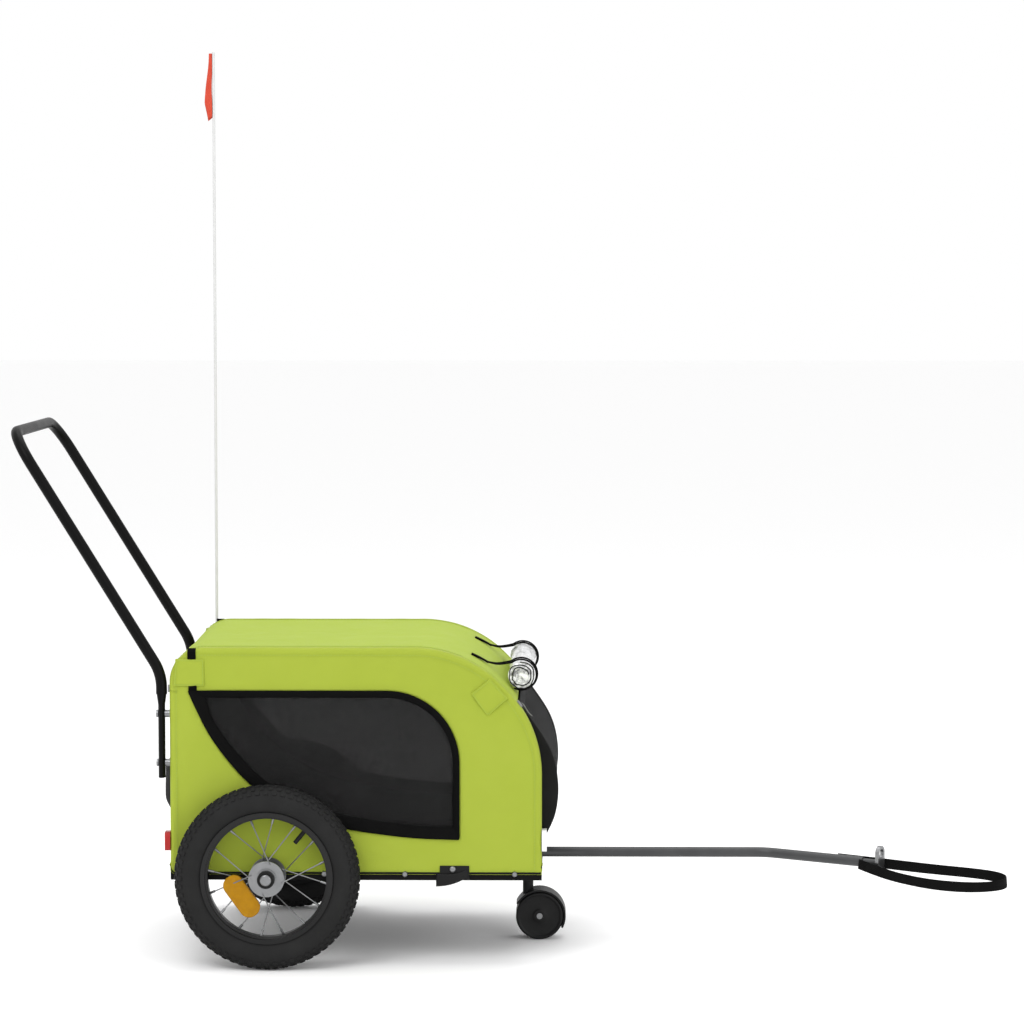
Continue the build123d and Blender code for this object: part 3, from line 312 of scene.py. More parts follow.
# ---- Bolts, nuts, pins and the wheels' steel: zinc plated or bare, with a faint grain.
zinc = Finish("zinc_plate", (0.40, 0.40, 0.41), 0.34, Metallic=1.0)
zinc_cloud = zinc.cloud(0.004)
zinc.feed("Roughness", zinc_cloud * 0.2 + 0.22)
zinc.tint(zinc.cloud(0.02), (0.17, 0.175, 0.18), (0.27, 0.27, 0.275))
zinc.relief(zinc.cloud(0.0005, 2.0), 0.00004)
coat_node(
    zinc,
    "handle_bolts",
    "rail_bolts",
    "tow_eye",
    "tow_lock_pin",
    "lock_pin_spring",
    "zip_sliders",
    "caster_axle",
    "right_spokes",
    "left_spokes",
    "right_hub",
    "left_hub",
    "right_hub_bearings",
    "left_hub_bearings",
    "right_release_button",
    "left_release_button",
)

# ---- Tow arm: round steel tube painted dark silver, bent once; its plug and the eye's
# plate at the front are brighter.
silver_paint = Finish("dark_silver_paint", (0.055, 0.057, 0.06), 0.36, Metallic=0.3, Specular_IOR_Level=0.3)
silver_paint.relief(silver_paint.cloud(0.0006, 2.0), 0.00005)
silver_paint.tint(silver_paint.cloud(0.03), (0.040, 0.041, 0.042), (0.062, 0.063, 0.065))
coat_node(silver_paint, "tow_arm")

# ---- Wheels: black pressed rims, steel spokes and hub, and moulded rubber tyres with
# rows of small knobs. Each tyre is one ring, and its knobs are moulded on it.
WHEEL_X = -0.295
WHEEL_Z = 0.15
TYRE_MID = 0.12575
rubber = Finish("tyre_rubber", (0.011, 0.011, 0.011), 0.72, Specular_IOR_Level=0.16)
rubber.tint(rubber.cloud(0.03), (0.008, 0.008, 0.008), (0.016, 0.016, 0.016))
rubber.relief(rubber.cloud(0.001, 4.0), 0.00025)
rim_paint = Finish("rim_paint", (0.006, 0.006, 0.006), 0.28, Specular_IOR_Level=0.25)
rim_paint.relief(rim_paint.cloud(0.001), 0.00004)
black_plastic = Finish("black_plastic", (0.006, 0.006, 0.006), 0.45, Specular_IOR_Level=0.16)
black_plastic.relief(black_plastic.cloud(0.0007, 2.0), 0.0001)
coat_node(rim_paint, "right_rim", "left_rim")
coat_node(black_plastic, "right_axle", "left_axle", "right_inner_tube", "left_inner_tube")


def turned(shape, profile, centre, steps, closed):
    """Spins a profile of (radius, offset) about a line along y through centre."""
    verts = [shape.verts.new((centre.x + r, centre.y + w, centre.z)) for r, w in profile]
    edges = [shape.edges.new(pair) for pair in zip(verts, verts[1:])]
    if closed:
        edges.append(shape.edges.new((verts[-1], verts[0])))
    bmesh.ops.spin(
        shape,
        geom=verts + edges,
        cent=centre,
        axis=(0, 1, 0),
        angle=2 * math.pi,
        steps=steps,
        use_merge=True,
    )
    bmesh.ops.remove_doubles(shape, verts=shape.verts, dist=1e-6)
    bmesh.ops.recalc_face_normals(shape, faces=shape.faces)


def tyre_section():
    outer = [math.radians(a) for a in range(-118, 119, 8)]
    line = [(TYRE_MID + 0.0230 * math.cos(a), 0.0212 * math.sin(a)) for a in outer]
    line += [(0.1035, 0.0140), (0.1040, 0.0105), (0.1090, 0.0115)]
    inner = [math.radians(a) for a in range(112, -113, -14)]
    line += [(TYRE_MID + 0.0200 * math.cos(a), 0.0182 * math.sin(a)) for a in inner]
    return line + [(0.1090, -0.0115), (0.1040, -0.0105), (0.1035, -0.0140)]


# each row of knobs: offset from the middle, lean, length, width, height, half a step on
KNOB_ROWS = (
    (0.0048, 8, 0.0085, 0.0068, 0.0030, 0.0),
    (0.0122, 28, 0.0075, 0.0060, 0.0032, 0.5),
    (0.0180, 58, 0.0080, 0.0050, 0.0036, 0.0),
)
KNOBS = 64


def add_knobs(shape, centre):
    for offset, lean, length, width, height, shift in KNOB_ROWS:
        for face in (-1, 1):
            reach = TYRE_MID + 0.0232 * math.sqrt(1 - (offset / 0.0214) ** 2)
            for step in range(KNOBS):
                turn = 2 * math.pi * (step + shift + (0.25 if face > 0 else 0)) / KNOBS
                block = bmesh.ops.create_cube(
                    shape,
                    size=1.0,
                    matrix=Matrix.Translation(centre)
                    @ Matrix.Rotation(turn, 4, "Y")
                    @ Matrix.Translation((reach, face * offset, 0))
                    @ Matrix.Rotation(math.radians(face * lean), 4, "Z")
                    @ Matrix.Diagonal((height, width, length, 1)),
                )
                # the block's outer face is drawn in a little
                top = centre + Matrix.Rotation(turn, 3, "Y") @ Vector((reach + height, face * offset * 1.4, 0))
                near = sorted(block["verts"], key=lambda v: (v.co - top).length)[:4]
                middle = sum((v.co for v in near), Vector()) / 4
                for vert in near:
                    vert.co = vert.co.lerp(middle, 0.22)


for side, y in (("right", -0.27), ("left", 0.27)):
    centre = Vector((WHEEL_X, y, WHEEL_Z))
    tyre_shape = bmesh.new()
    turned(tyre_shape, tyre_section(), centre, 128, True)
    tyre = piece(f"{side}_tyre_casing", tyre_shape, rubber, f"{side}_wheel")
    knob_shape = bmesh.new()
    add_knobs(knob_shape, centre)
    knobs = piece(f"{side}_tyre_knobs", knob_shape, rubber, f"{side}_wheel", smooth=False)
    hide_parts(f"{side}_tyre")

# ---- Wheel reflectors: amber prism lenses that clip over the spokes.
amber = Finish("amber_lens", (0.70, 0.30, 0.01), 0.2, Specular_IOR_Level=0.3)
ax, ay, az = amber.split(amber.place(centre=(WHEEL_X, 0, WHEEL_Z), scale=(1, 1, 1)))
prism = ((ax + az) * 1800).sin() * ((ax - az) * 1800).sin()
amber.tint(prism * 0.3 + amber.cloud(0.012) * 0.6 + 0.1, (0.40, 0.17, 0.004), (0.78, 0.40, 0.012))
amber.relief(prism, 0.0009)
coat_node(amber, "right_wheel_reflector", "left_wheel_reflector")


# ---- Cabin cover: coated polyester sewn into a box. Each side is one cut with a window,
# a turned-over band that meets the roof, and a hem at the bottom that shows the rail.
def green_finish(name, colour, paler):
    finish = Finish(name, colour, 0.62, Specular_IOR_Level=0.25)
    x, y, z = finish.split(finish.place())
    warp = ((x + y) * 6300).sin()
    weft = ((z + y) * 6300).sin()
    finish.tint(finish.cloud(0.09, 4.0) * 0.8 + warp * weft * 0.08 + 0.1, colour, paler)
    creases = finish.cloud(0.035, 4.0)
    finish.relief(warp * weft * 0.25 + creases * 2.2, 0.0006)
    finish.feed("Roughness", creases * 0.2 + 0.52)
    return finish


side_green = green_finish("side_green", (0.310, 0.385, 0.030), (0.350, 0.425, 0.041))
# The roof is the sides' cloth made paler: painted light on the upward-facing roof.
roof_green = green_finish("roof_green", (0.325, 0.425, 0.034), (0.365, 0.465, 0.046))
# The inner face of the cover and roof cloth is painted near-black: painted shade of the cabin's inside, seen through
# the window nets.
lining = Finish("inside_painted_shade", (0.008, 0.008, 0.008), 0.85, Specular_IOR_Level=0.1)
lining.relief(lining.cloud(0.002), 0.0003)

REAR_X, FRONT_X = -0.455, 0.148
ROOF_Z, HEM_Z = 0.518, 0.149
NOSE_R = 0.200
NOSE_SUM = FRONT_X + ROOF_Z - 0.125


def even(points, count):
    """Points evenly spaced along a polyline."""
    points = [Vector(p) for p in points]
    reach = [0.0]
    for a, b in zip(points, points[1:]):
        reach.append(reach[-1] + (b - a).length)
    result, index = [], 0
    for step in range(count + 1):
        goal = reach[-1] * step / count
        while index < len(points) - 2 and reach[index + 1] < goal:
            index += 1
        span = reach[index + 1] - reach[index]
        result.append(points[index].lerp(points[index + 1], (goal - reach[index]) / span))
    return result


def eased(corners, radii):
    """A line of (x, z) points with its corners rounded to radii."""
    corners = [Vector(c) for c in corners]
    line = [corners[0]]
    for before, corner, after, radius in zip(corners, corners[1:], corners[2:], radii):
        a, b = (before - corner).normalized(), (after - corner).normalized()
        half = a.angle(b) / 2
        centre = corner + (a + b).normalized() * radius / math.sin(half)
        start = corner + a * radius / math.tan(half) - centre
        end = corner + b * radius / math.tan(half) - centre
        for step in range(17):
            line.append(centre + start.slerp(end, step / 16).normalized() * radius)
    return line + [corners[-1]]


def cabin_line(inset, rear_z=HEM_Z, front_z=HEM_Z):
    """The cabin's outline from the rear edge over the roof to the front edge."""
    rear, front, top = REAR_X + inset, FRONT_X - inset, ROOF_Z - inset
    slope = NOSE_SUM - inset * math.sqrt(2)
    corners = [(rear, rear_z), (rear, top), (slope - top, top), (front, slope - front), (front, front_z)]
    return eased(corners, (0.055 - inset, NOSE_R - inset, NOSE_R - inset))


WINDOW = [(-0.128, 0.4475), (0.308, 0.4475), (0.308, 0.2075)]
WINDOW_CURVE = [
    (0.308, 0.2075),
    (0.246, 0.2097),
    (0.189, 0.2154),
    (0.127, 0.225),
    (0.066, 0.241),
    (0.012, 0.267),
    (-0.0295, 0.2985),
    (-0.0628, 0.334),
    (-0.0937, 0.377),
    (-0.115, 0.4185),
    (-0.128, 0.4475),
]
WINDOW_INSIDE = [(-0.1017, 0.4392), (0.3002, 0.4392), (0.3002, 0.2270)]
INSIDE_CURVE = [
    (0.3002, 0.2270),
    (0.2463, 0.2287),
    (0.185, 0.2352),
    (0.1227, 0.2463),
    (0.060, 0.2665),
    (-0.001, 0.2985),
    (-0.039, 0.334),
    (-0.0685, 0.3685),
    (-0.0913, 0.4055),
    (-0.1017, 0.4392),
]


def flowing(points):
    """A smooth line through points."""
    points = [Vector(p) for p in points]
    padded = [2 * points[0] - points[1]] + points + [2 * points[-1] - points[-2]]
    line = []
    for a, b, c, d in zip(padded, padded[1:], padded[2:], padded[3:]):
        for step in range(12):
            t = step / 12
            line.append(
                0.5 * (2 * b + (c - a) * t + (2 * a - 5 * b + 4 * c - d) * t * t + (3 * b - a - 3 * c + d) * t**3)
            )
    return line + [points[-1]]


HEAD_STEPS, ARCH_STEPS = 120, 80
shift = Vector((WHEEL_X, 0))
window_loop = [p + shift for p in even(eased(WINDOW, (0.116,)), HEAD_STEPS)]
window_loop += [p + shift for p in even(flowing(WINDOW_CURVE), ARCH_STEPS)[1:]]
inside_loop = [p + shift for p in even(eased(WINDOW_INSIDE, (0.108,)), HEAD_STEPS)]
inside_loop += [p + shift for p in even(flowing(INSIDE_CURVE), ARCH_STEPS)[1:]]


def cover_loop(inset):
    """The cover's outline, step for step opposite the window's."""
    line = even(cabin_line(inset), 400)
    above = [p for p in line if not (p.x < -0.3 and p.y < 0.4475)]
    loop = even([(REAR_X + inset, 0.4475)] + above, HEAD_STEPS)
    foot = [(FRONT_X - inset, HEM_Z), (REAR_X + inset, HEM_Z), (REAR_X + inset, 0.4475)]
    return loop + even(foot, ARCH_STEPS)[1:]


def pick(loop, u):
    at = min(u, 0.999999) * (len(loop) - 1)
    index = int(at)
    return loop[index].lerp(loop[index + 1], at - index)


def ripple(x, z, seed, size=0.09):
    return noise.noise(Vector((x / size, seed, z / size)))


SIDE_Y = 0.239
EDGE_R = 0.007
flat_loop = cover_loop(EDGE_R)
edge_loop = cover_loop(0.0)


def side_place(sign):
    def place(u, v):
        inner, flat, edge = pick(window_loop, u), pick(flat_loop, u), pick(edge_loop, u)
        turned_over = min(max((edge.y - 0.162) / 0.012, 0.0), 1.0)
        if v <= 0.6:
            at = inner.lerp(flat, v / 0.6)
            near = min(v / 0.6, 1 - v / 0.6)
            puff = 0.0022 * ripple(at.x, at.y, 3.1 * sign) + 0.0012 * ripple(at.x, at.y, 7.7, 0.03)
            return Vector((at.x, sign * (SIDE_Y + puff * min(4 * near, 1)), at.y))
        if v <= 0.8:
            turn = (v - 0.6) / 0.2 * math.pi / 2
            at = flat.lerp(edge, math.sin(turn))
            deep = EDGE_R * (1 - math.cos(turn)) * turned_over + 0.0004 * (v - 0.6) * (1 - turned_over)
            return Vector((at.x, sign * (SIDE_Y - deep), at.y))
        deep = (EDGE_R + (v - 0.8) / 0.2 * 0.0165) * turned_over
        hem = (v - 0.8) * (1 - turned_over)
        lift = 0.0006 * ripple(edge.x, edge.y, 5.0, 0.04) * turned_over
        return Vector((edge.x, sign * (SIDE_Y - deep - 0.0001 - 0.002 * hem), edge.y + lift + 0.02 * hem))

    return place


def thicken(made, depth, finish=None):
    """Gives a sheet its thickness, inwards, with finish as its lining."""
    if finish:
        made.data.materials.append(finish.material)
    solid = made.modifiers.new("thickness", "SOLIDIFY")
    solid.thickness = depth
    solid.offset = -1.0
    solid.use_even_offset = False
    if finish:
        solid.material_offset = 1


def stitches(name, path, outward, finish, body, pitch=0.0055):
    """A row of short threads along a path of points."""
    shape = bmesh.new()
    total = sum((b - a).length for a, b in zip(path, path[1:]))
    count = int(total / pitch)
    for step in range(count):
        here, forward = along(path, (step + 0.5) / count)
        out = outward(here)
        across = forward.cross(out).normalized()
        turn = Matrix((forward, across, out)).transposed().to_4x4()
        thread = Matrix.Translation(here) @ turn @ Matrix.Diagonal((0.0034, 0.0009, 0.0007, 1))
        bmesh.ops.create_cube(shape, size=1.0, matrix=thread)
    return piece(name, shape, finish, body, smooth=False)


thread = Finish("green_thread", (0.30, 0.40, 0.04), 0.7)
thread.tint(thread.cloud(0.004), (0.27, 0.37, 0.035), (0.36, 0.46, 0.06))
binding = webbing_finish("window_binding", (0.002, 0.002, 0.002), (0.006, 0.006, 0.006), 1.3, 0.02)


def net_finish(name, colour, pitch, open_share):
    """Black knitted net: alpha falls to the open share between its threads."""
    finish = Finish(name, colour, 0.8, Specular_IOR_Level=0.12)
    x, y, z = finish.split(finish.place())
    wave = 2 * math.pi / pitch
    holes = ((x + z) * wave).sin() * ((x - z + y) * wave).sin()
    finish.feed("Alpha", 1 - (holes * 0.5 + 0.5) * open_share)
    finish.tint(finish.cloud(0.05, 4.0), colour, tuple(c * 1.6 for c in colour))
    finish.relief(holes, 0.0003)
    return finish


window_net = net_finish("window_net", (0.013, 0.013, 0.013), 0.0024, 0.62)
front_net = net_finish("front_net", (0.011, 0.011, 0.011), 0.0024, 0.3)


middle_of_window = Vector((WHEEL_X + 0.145, 0.335))


def binding_place(sign, y):
    def place(u, v):
        at = pick(window_loop, u).lerp(pick(inside_loop, u), v * 1.03 - 0.03)
        crown = 0.0014 * math.sqrt(max(1 - (2 * v - 1) ** 2, 0))
        return Vector((at.x, sign * (y + crown), at.y))

    return place


def net_place(sign):
    def place(u, v):
        edge = pick(window_loop, u)
        at = edge.lerp(middle_of_window, v)
        sag = 0.005 * math.sin(math.pi * min(v * 1.4, 1.0) / 2) + 0.0018 * ripple(at.x, at.y, 2.2 * sign) * min(5 * v, 1)
        return Vector((at.x, sign * (SIDE_Y - 0.0012 - sag), at.y))

    return place


for side, sign in (("right", -1), ("left", 1)):
    flip = sign > 0
    cover = piece(
        f"{side}_cover", cloth(400, 30, side_place(sign), flip), side_green, "chassis"
    )
    thicken(cover, 0.0016, lining)
    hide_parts(f"{side}_side_panel")
    net = piece(f"{side}_window_net", cloth(200, 24, net_place(sign), flip), window_net, "chassis")
    thicken(net, 0.0006)
    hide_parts(f"{side}_window")
    band = piece(
        f"{side}_window_binding",
        cloth(400, 8, binding_place(sign, SIDE_Y + 0.0008), flip),
        binding,
        "chassis",
    )
    thicken(band, 0.0022)

# ---- Roof: one sheet from the rear door over the bars to the nose, with its side edges
# sewn to the covers along the hoops.
ROOF_HALF = 0.2165


roof_edge = even(cabin_line(0.0004), 800)
roof_edge = even([p for p in roof_edge if p.y > (0.455 if p.x < -0.3 else 0.4275)], 160)


def roof_place(u, v):
    across = (2 * v - 1) * ROOF_HALF
    at = pick(roof_edge, u)
    middle = math.cos(math.pi * across / (2 * ROOF_HALF))
    along_roof = math.sin(math.pi * min(max((u - 0.12) / 0.5, 0), 1))
    sag = 0.004 * middle * along_roof + 0.0016 * ripple(at.x, across, 4.4) * middle
    return Vector((at.x, across, at.y - sag))


roof_shape = cloth(160, 90, roof_place, False)
roof = piece("roof_cover", roof_shape, roof_green, "chassis")
thicken(roof, 0.0016, lining)
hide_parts("roof_panel")

# ---- Sewn details of the cover: hook-and-loop tabs on the sides, and the rows of
# stitching beside the edges. The tabs are doubled squares of the cover's own cloth.
def tab_place(corners, sign, y):
    a, b, c, d = (Vector(corner) + shift for corner in corners)

    def place(u, v):
        at = a.lerp(b, u).lerp(d.lerp(c, u), v)
        rise = min(u, 1 - u, v, 1 - v)
        lift = 0.0016 * min(rise * 12, 1) + 0.0010 * ripple(at.x, at.y, 9.1, 0.02)
        return Vector((at.x, sign * (y + lift), at.y))

    return place


def tail_place(sign):
    def place(u, v):
        z = 0.4425 + 0.0740 * u
        x = WHEEL_X - 0.1215 - 0.0020 * u + 0.0135 * (v - 0.5)
        return Vector((x, sign * (SIDE_Y + 0.0010 - 0.006 * max(u - 0.93, 0) / 0.07), z))

    return place


NOSE_TAB = [(0.327, 0.4445), (0.355, 0.406), (0.390, 0.4365), (0.3595, 0.470)]
REAR_TAB = [(-0.1545, 0.455), (-0.1015, 0.455), (-0.1015, 0.501), (-0.150, 0.501)]


def offset_line(points, inset):
    """The cabin's outline moved inwards, above a given height."""
    line = even(cabin_line(inset), 300)
    return [p for p in line if p.y > points]


for side, sign in (("right", -1), ("left", 1)):
    tail = piece(
        f"{side}_binding_tail", cloth(30, 6, tail_place(sign), sign > 0), binding, "chassis"
    )
    thicken(tail, 0.0012)
    for name, corners in (("nose", NOSE_TAB), ("rear", REAR_TAB)):
        flap = piece(
            f"{side}_{name}_tab",
            cloth(14, 14, tab_place(corners, sign, SIDE_Y + 0.0016), sign > 0),
            side_green,
            "chassis",
        )
        thicken(flap, 0.0024)
        flap.modifiers.new("round", "SUBSURF").levels = 1
        flap.modifiers["round"].render_levels = 1
        frame_line = [Vector(c) + shift for c in corners + corners[:1]]
        middle = sum(frame_line[:4], Vector((0, 0))) / 4
        sewn = [
            Vector((q.x, sign * (SIDE_Y + 0.0033), q.y))
            for q in (middle + (p - middle) * 0.86 for p in even(frame_line, 60))
        ]
        stitches(f"{side}_{name}_tab_stitches", sewn, lambda here: Vector((0, sign, 0)), thread, "chassis", 0.0045)
    seam = [Vector((p.x, sign * (SIDE_Y + 0.0011), p.y)) for p in offset_line(0.156, 0.0115)]
    stitches(f"{side}_edge_stitches", seam, lambda here: Vector((0, sign, 0)), thread, "chassis")
    hem = [Vector((x, sign * (SIDE_Y + 0.0011), HEM_Z + 0.006)) for x in (REAR_X + 0.012, FRONT_X - 0.012)]
    stitches(f"{side}_hem_stitches", hem, lambda here: Vector((0, sign, 0)), thread, "chassis")
    for inset, y in ((0.0, 0.2205), (0.0, 0.2135)):
        top = [p for p in offset_line(0.44, 0.0)]
        seam = [Vector((p.x, sign * y, p.y + 0.0006)) for p in top if y > 0.216 or p.x < 0.02]
        stitches(
            f"{side}_roof_stitches_{int(y * 10000)}",
            seam,
            lambda here: Vector((0.5 if here.x > 0.03 else 0, 0, 1)).normalized(),
            thread,
            "chassis",
        )

# ---- Ends of the cabin: a skirt of black cloth at each end, a net door at the front that bulges
# between black cheeks, and a net door at the back with a black pocket sewn on it.
EDGE_TAPE = 0.012
front_profile = flowing(
    [
        (FRONT_X + 0.002, 0.202),
        (FRONT_X + 0.0213, 0.247),
        (FRONT_X + 0.025, 0.300),
        (FRONT_X + 0.010, 0.356),
        (0.1110, 0.426),
    ]
)
front_profile = even(front_profile, 90)
DOOR_HALF = 0.212


def door_out(line, u):
    a, b = pick(line, max(u - 0.02, 0.0)), pick(line, min(u + 0.02, 1.0))
    step = (b - a).normalized()
    return Vector((step.y, -step.x))


def front_place(low, high, left, right, rise):
    def place(u, v):
        along_it = low + (high - low) * u
        y = left + (right - left) * v
        at = pick(front_profile, along_it)
        out = door_out(front_profile, along_it)
        fold = 0.0012 * ripple(at.y, y, 6.6, 0.05) - 0.001
        edge = min(along_it, 1 - along_it, (DOOR_HALF - abs(y)) * 4)
        at = at + out * (rise + fold * min(edge * 8, 1))
        return Vector((at.x, y, at.y))

    return place


door_net = piece(
    "front_door_net",
    cloth(70, 70, front_place(0, 1, -DOOR_HALF, DOOR_HALF, 0), True),
    front_net,
    "front_flap",
)
thicken(door_net, 0.0008)
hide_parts("front_door")
dark_cloth = Finish("black_cloth", (0.010, 0.010, 0.010), 0.7, Specular_IOR_Level=0.14)
cx, cy, cz = dark_cloth.split(dark_cloth.place())
dark_cloth.tint(dark_cloth.cloud(0.03, 4.0), (0.005, 0.005, 0.005), (0.012, 0.012, 0.012))
dark_cloth.relief(((cx + cy) * 5200).sin() * ((cz + cy) * 5200).sin() * 0.3 + dark_cloth.cloud(0.03, 4.0) * 2, 0.0006)
for name, low, high, left, right in (
    ("top", 0.94, 1.0, -DOOR_HALF, DOOR_HALF),
    ("sill", 0.0, 0.05, -DOOR_HALF, DOOR_HALF),
    ("right", 0.0, 1.0, -DOOR_HALF, -DOOR_HALF + EDGE_TAPE),
    ("left", 0.0, 1.0, DOOR_HALF - EDGE_TAPE, DOOR_HALF),
):
    tape = piece(
        f"front_door_tape_{name}",
        cloth(70, 24, front_place(low, high, left, right, 0.0012), True),
        dark_cloth,
        "front_flap",
    )
    thicken(tape, 0.0014)


def cheek_place(sign):
    def place(u, v):
        outer = pick(front_profile, u)
        at = outer + Vector((-0.028, 0)) * v
        dish = 0.002 * math.sin(math.pi * u) * math.sin(math.pi * v)
        return Vector((at.x, sign * (DOOR_HALF - 0.0002 - dish), at.y))

    return place


for side, sign in (("right", -1), ("left", 1)):
    cheek = piece(
        f"front_door_cheek_{side}", cloth(60, 10, cheek_place(sign), sign < 0), dark_cloth, "front_flap"
    )
    thicken(cheek, 0.0012)


def flat_end(x, sign, low, high, half, sag):
    def place(u, v):
        y, z = -half + 2 * half * u, low + (high - low) * v
        inside = min(min(u, 1 - u), min(v, 1 - v)) * 8
        return Vector((x + sign * (0.0015 * ripple(y, z, 8.0, 0.07) * min(inside, 1) + sag * min(inside, 1)), y, z))

    return place


for name, x, sign, low, high in (("rear", REAR_X, -1, 0.150, 0.170), ("front", FRONT_X, 1, 0.150, 0.200)):
    skirt = piece(
        f"{name}_skirt", cloth(60, 8, flat_end(x - sign * 0.0008, sign, low, high, 0.2135, 0), sign > 0),
        dark_cloth, "chassis",
    )
    thicken(skirt, 0.0014 * (1 if sign > 0 else 1))
    if name == "rear":
        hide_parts("end_skirts")
back_net = piece(
    "rear_door_net",
    cloth(60, 40, flat_end(REAR_X + 0.0006, -1, 0.172, 0.453, DOOR_HALF, -0.001), False),
    front_net,
    "rear_flap",
)
thicken(back_net, 0.0008)
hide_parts("rear_door")
for name, low, high, left, right in (
    ("top", 0.441, 0.453, -DOOR_HALF, DOOR_HALF),
    ("sill", 0.1750, 0.184, -DOOR_HALF, DOOR_HALF),
    ("right", 0.1750, 0.453, -DOOR_HALF, -DOOR_HALF + EDGE_TAPE),
    ("left", 0.1750, 0.453, DOOR_HALF - EDGE_TAPE, DOOR_HALF),
):

    def back_tape(u, v):
        return Vector((REAR_X - 0.0008, left + (right - left) * u, low + (high - low) * v))

    tape = piece(f"rear_door_tape_{name}", cloth(30, 20, back_tape), dark_cloth, "rear_flap")
    thicken(tape, 0.0012)


def pocket_place(u, v):
    y, z = -0.150 + 0.300 * u, 0.228 + 0.102 * v
    low = min(v / 0.32, 1.0)
    high = min((1 - v) / 0.22, 1.0)
    ends = min(min(u, 1 - u) * 9, 1.0)
    deep = 0.0185 * math.sin(math.pi / 2 * min(low, 1)) * (0.25 + 0.75 * high) * (0.35 + 0.65 * math.sin(math.pi / 2 * ends))
    sag = 0.003 * math.cos(2 * math.pi * (u - 0.5)) * v
    return Vector((REAR_X - 0.0012 - deep + 0.001 * ripple(y, z, 1.3, 0.04), y, z - sag))


pocket = piece("rear_pocket_bag", cloth(60, 26, pocket_place), dark_cloth, "rear_flap")
thicken(pocket, 0.0012)
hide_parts("rear_pocket")

# ---- Rain cover: a clear soft sheet rolled up on the nose and held by two elastic loops.
# A black binding is sewn along the sheet's side edges and winds into the roll's ends.
roll_low, roll_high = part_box("rain_cover_roll")
ROLL_X = (roll_low[0] + roll_high[0]) / 2
ROLL_Z = (roll_low[2] + roll_high[2]) / 2
ROLL_TURNS = 3.2


def roll_at(u, y):
    turn = 2 * math.pi * ROLL_TURNS * u + 0.4
    radius = 0.0050 + 0.0180 * u**0.8
    radius += 0.0026 * noise.noise(Vector((math.cos(turn) * 2 + u * 3, math.sin(turn) * 2, y * 16)))
    return Vector((ROLL_X + radius * math.cos(turn), y, ROLL_Z + radius * math.sin(turn)))


vinyl = Finish("clear_vinyl", (0.92, 0.94, 0.94), 0.12, Specular_IOR_Level=0.6, Coat_Weight=0.5)
vinyl_folds = vinyl.cloud(0.012, 3.0)
vinyl.feed("Alpha", vinyl_folds * 0.5 + 0.42)
# Grey and near-white patches on the clear sheet: painted shade and painted highlight of its creases.
vinyl_painted_shade = vinyl.node("ShaderNodeMapRange", {}, {"Value": vinyl.cloud(0.010, 3.0), "From Min": 0.32, "From Max": 0.5})
vinyl.tint(vinyl_painted_shade, (0.46, 0.47, 0.48), (0.97, 0.97, 0.98))
vinyl.relief(vinyl.cloud(0.007, 3.0), 0.003)


def vinyl_place(u, v):
    return roll_at(u, -0.149 + 0.298 * v)


cover_sheet = piece("rain_cover_sheet", cloth(190, 40, vinyl_place), vinyl, "chassis")
thicken(cover_sheet, 0.0005)
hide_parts("rain_cover_roll")


def cord_tube(name, path, radius, finish, body, sides=10):
    """A round cord along a path of points, with closed ends."""

    def place(u, v):
        here, forward = along(path, u)
        side = forward.cross(Vector((0.03, 1, 0.02))).normalized()
        if forward.cross(Vector((0, 1, 0))).length < 0.2:
            side = forward.cross(Vector((0, 0, 1))).normalized()
        up = side.cross(forward)
        return here + (side * math.cos(2 * math.pi * v) + up * math.sin(2 * math.pi * v)) * radius

    shape = cloth(len(path) * 2, sides, place)
    bmesh.ops.holes_fill(shape, edges=[e for e in shape.edges if e.is_boundary], sides=0)
    bmesh.ops.recalc_face_normals(shape, faces=shape.faces)
    return piece(name, shape, finish, body)


vinyl_fold = Finish("folded_vinyl", (0.85, 0.86, 0.87), 0.18, Specular_IOR_Level=0.6)
# Dark and near-white patches on the gathered ends: painted shade in the folds and painted highlight on their ridges.
fold_painted_shade = vinyl_fold.node(
    "ShaderNodeMapRange", {}, {"Value": vinyl_fold.cloud(0.009, 3.0), "From Min": 0.36, "From Max": 0.56}
)
vinyl_fold.tint(fold_painted_shade, (0.20, 0.20, 0.21), (0.96, 0.96, 0.97))
vinyl_fold.relief(vinyl_fold.cloud(0.006, 3.0), 0.003)
for side, y in (("right", -0.1468), ("left", 0.1468)):

    def end_place(u, v):
        turn, radius = 2 * math.pi * v, 0.0215 * u
        at = Vector((ROLL_X + radius * math.cos(turn), y, ROLL_Z + radius * math.sin(turn)))
        return at + Vector((0, math.copysign(0.0016 * noise.noise(at * 160) + 0.0012 * math.sin(20 * u), y), 0))

    gathered = cloth(18, 48, end_place, y < 0)
    bmesh.ops.remove_doubles(gathered, verts=gathered.verts, dist=0.00001)
    piece(f"rain_cover_fold_{side}", gathered, vinyl_fold, "chassis")
for side, y in (("right", -0.1490), ("left", 0.1490)):
    edge = [roll_at(0.30 + 0.70 * step / 90, y) for step in range(91)]
    cord_tube(f"rain_cover_edge_{side}", edge, 0.0009, dark_cloth, "chassis", 8)

elastic = webbing_finish("elastic_cord", (0.002, 0.002, 0.002), (0.008, 0.008, 0.008), 0.3, 0.01)
BEND_X = NOSE_SUM - ROOF_Z - math.tan(math.pi / 8) * NOSE_R
BEND_Z = ROOF_Z - NOSE_R


def nose_point(angle, lift):
    reach = NOSE_R + lift
    return Vector((BEND_X + reach * math.cos(math.radians(angle)), BEND_Z + reach * math.sin(math.radians(angle))))


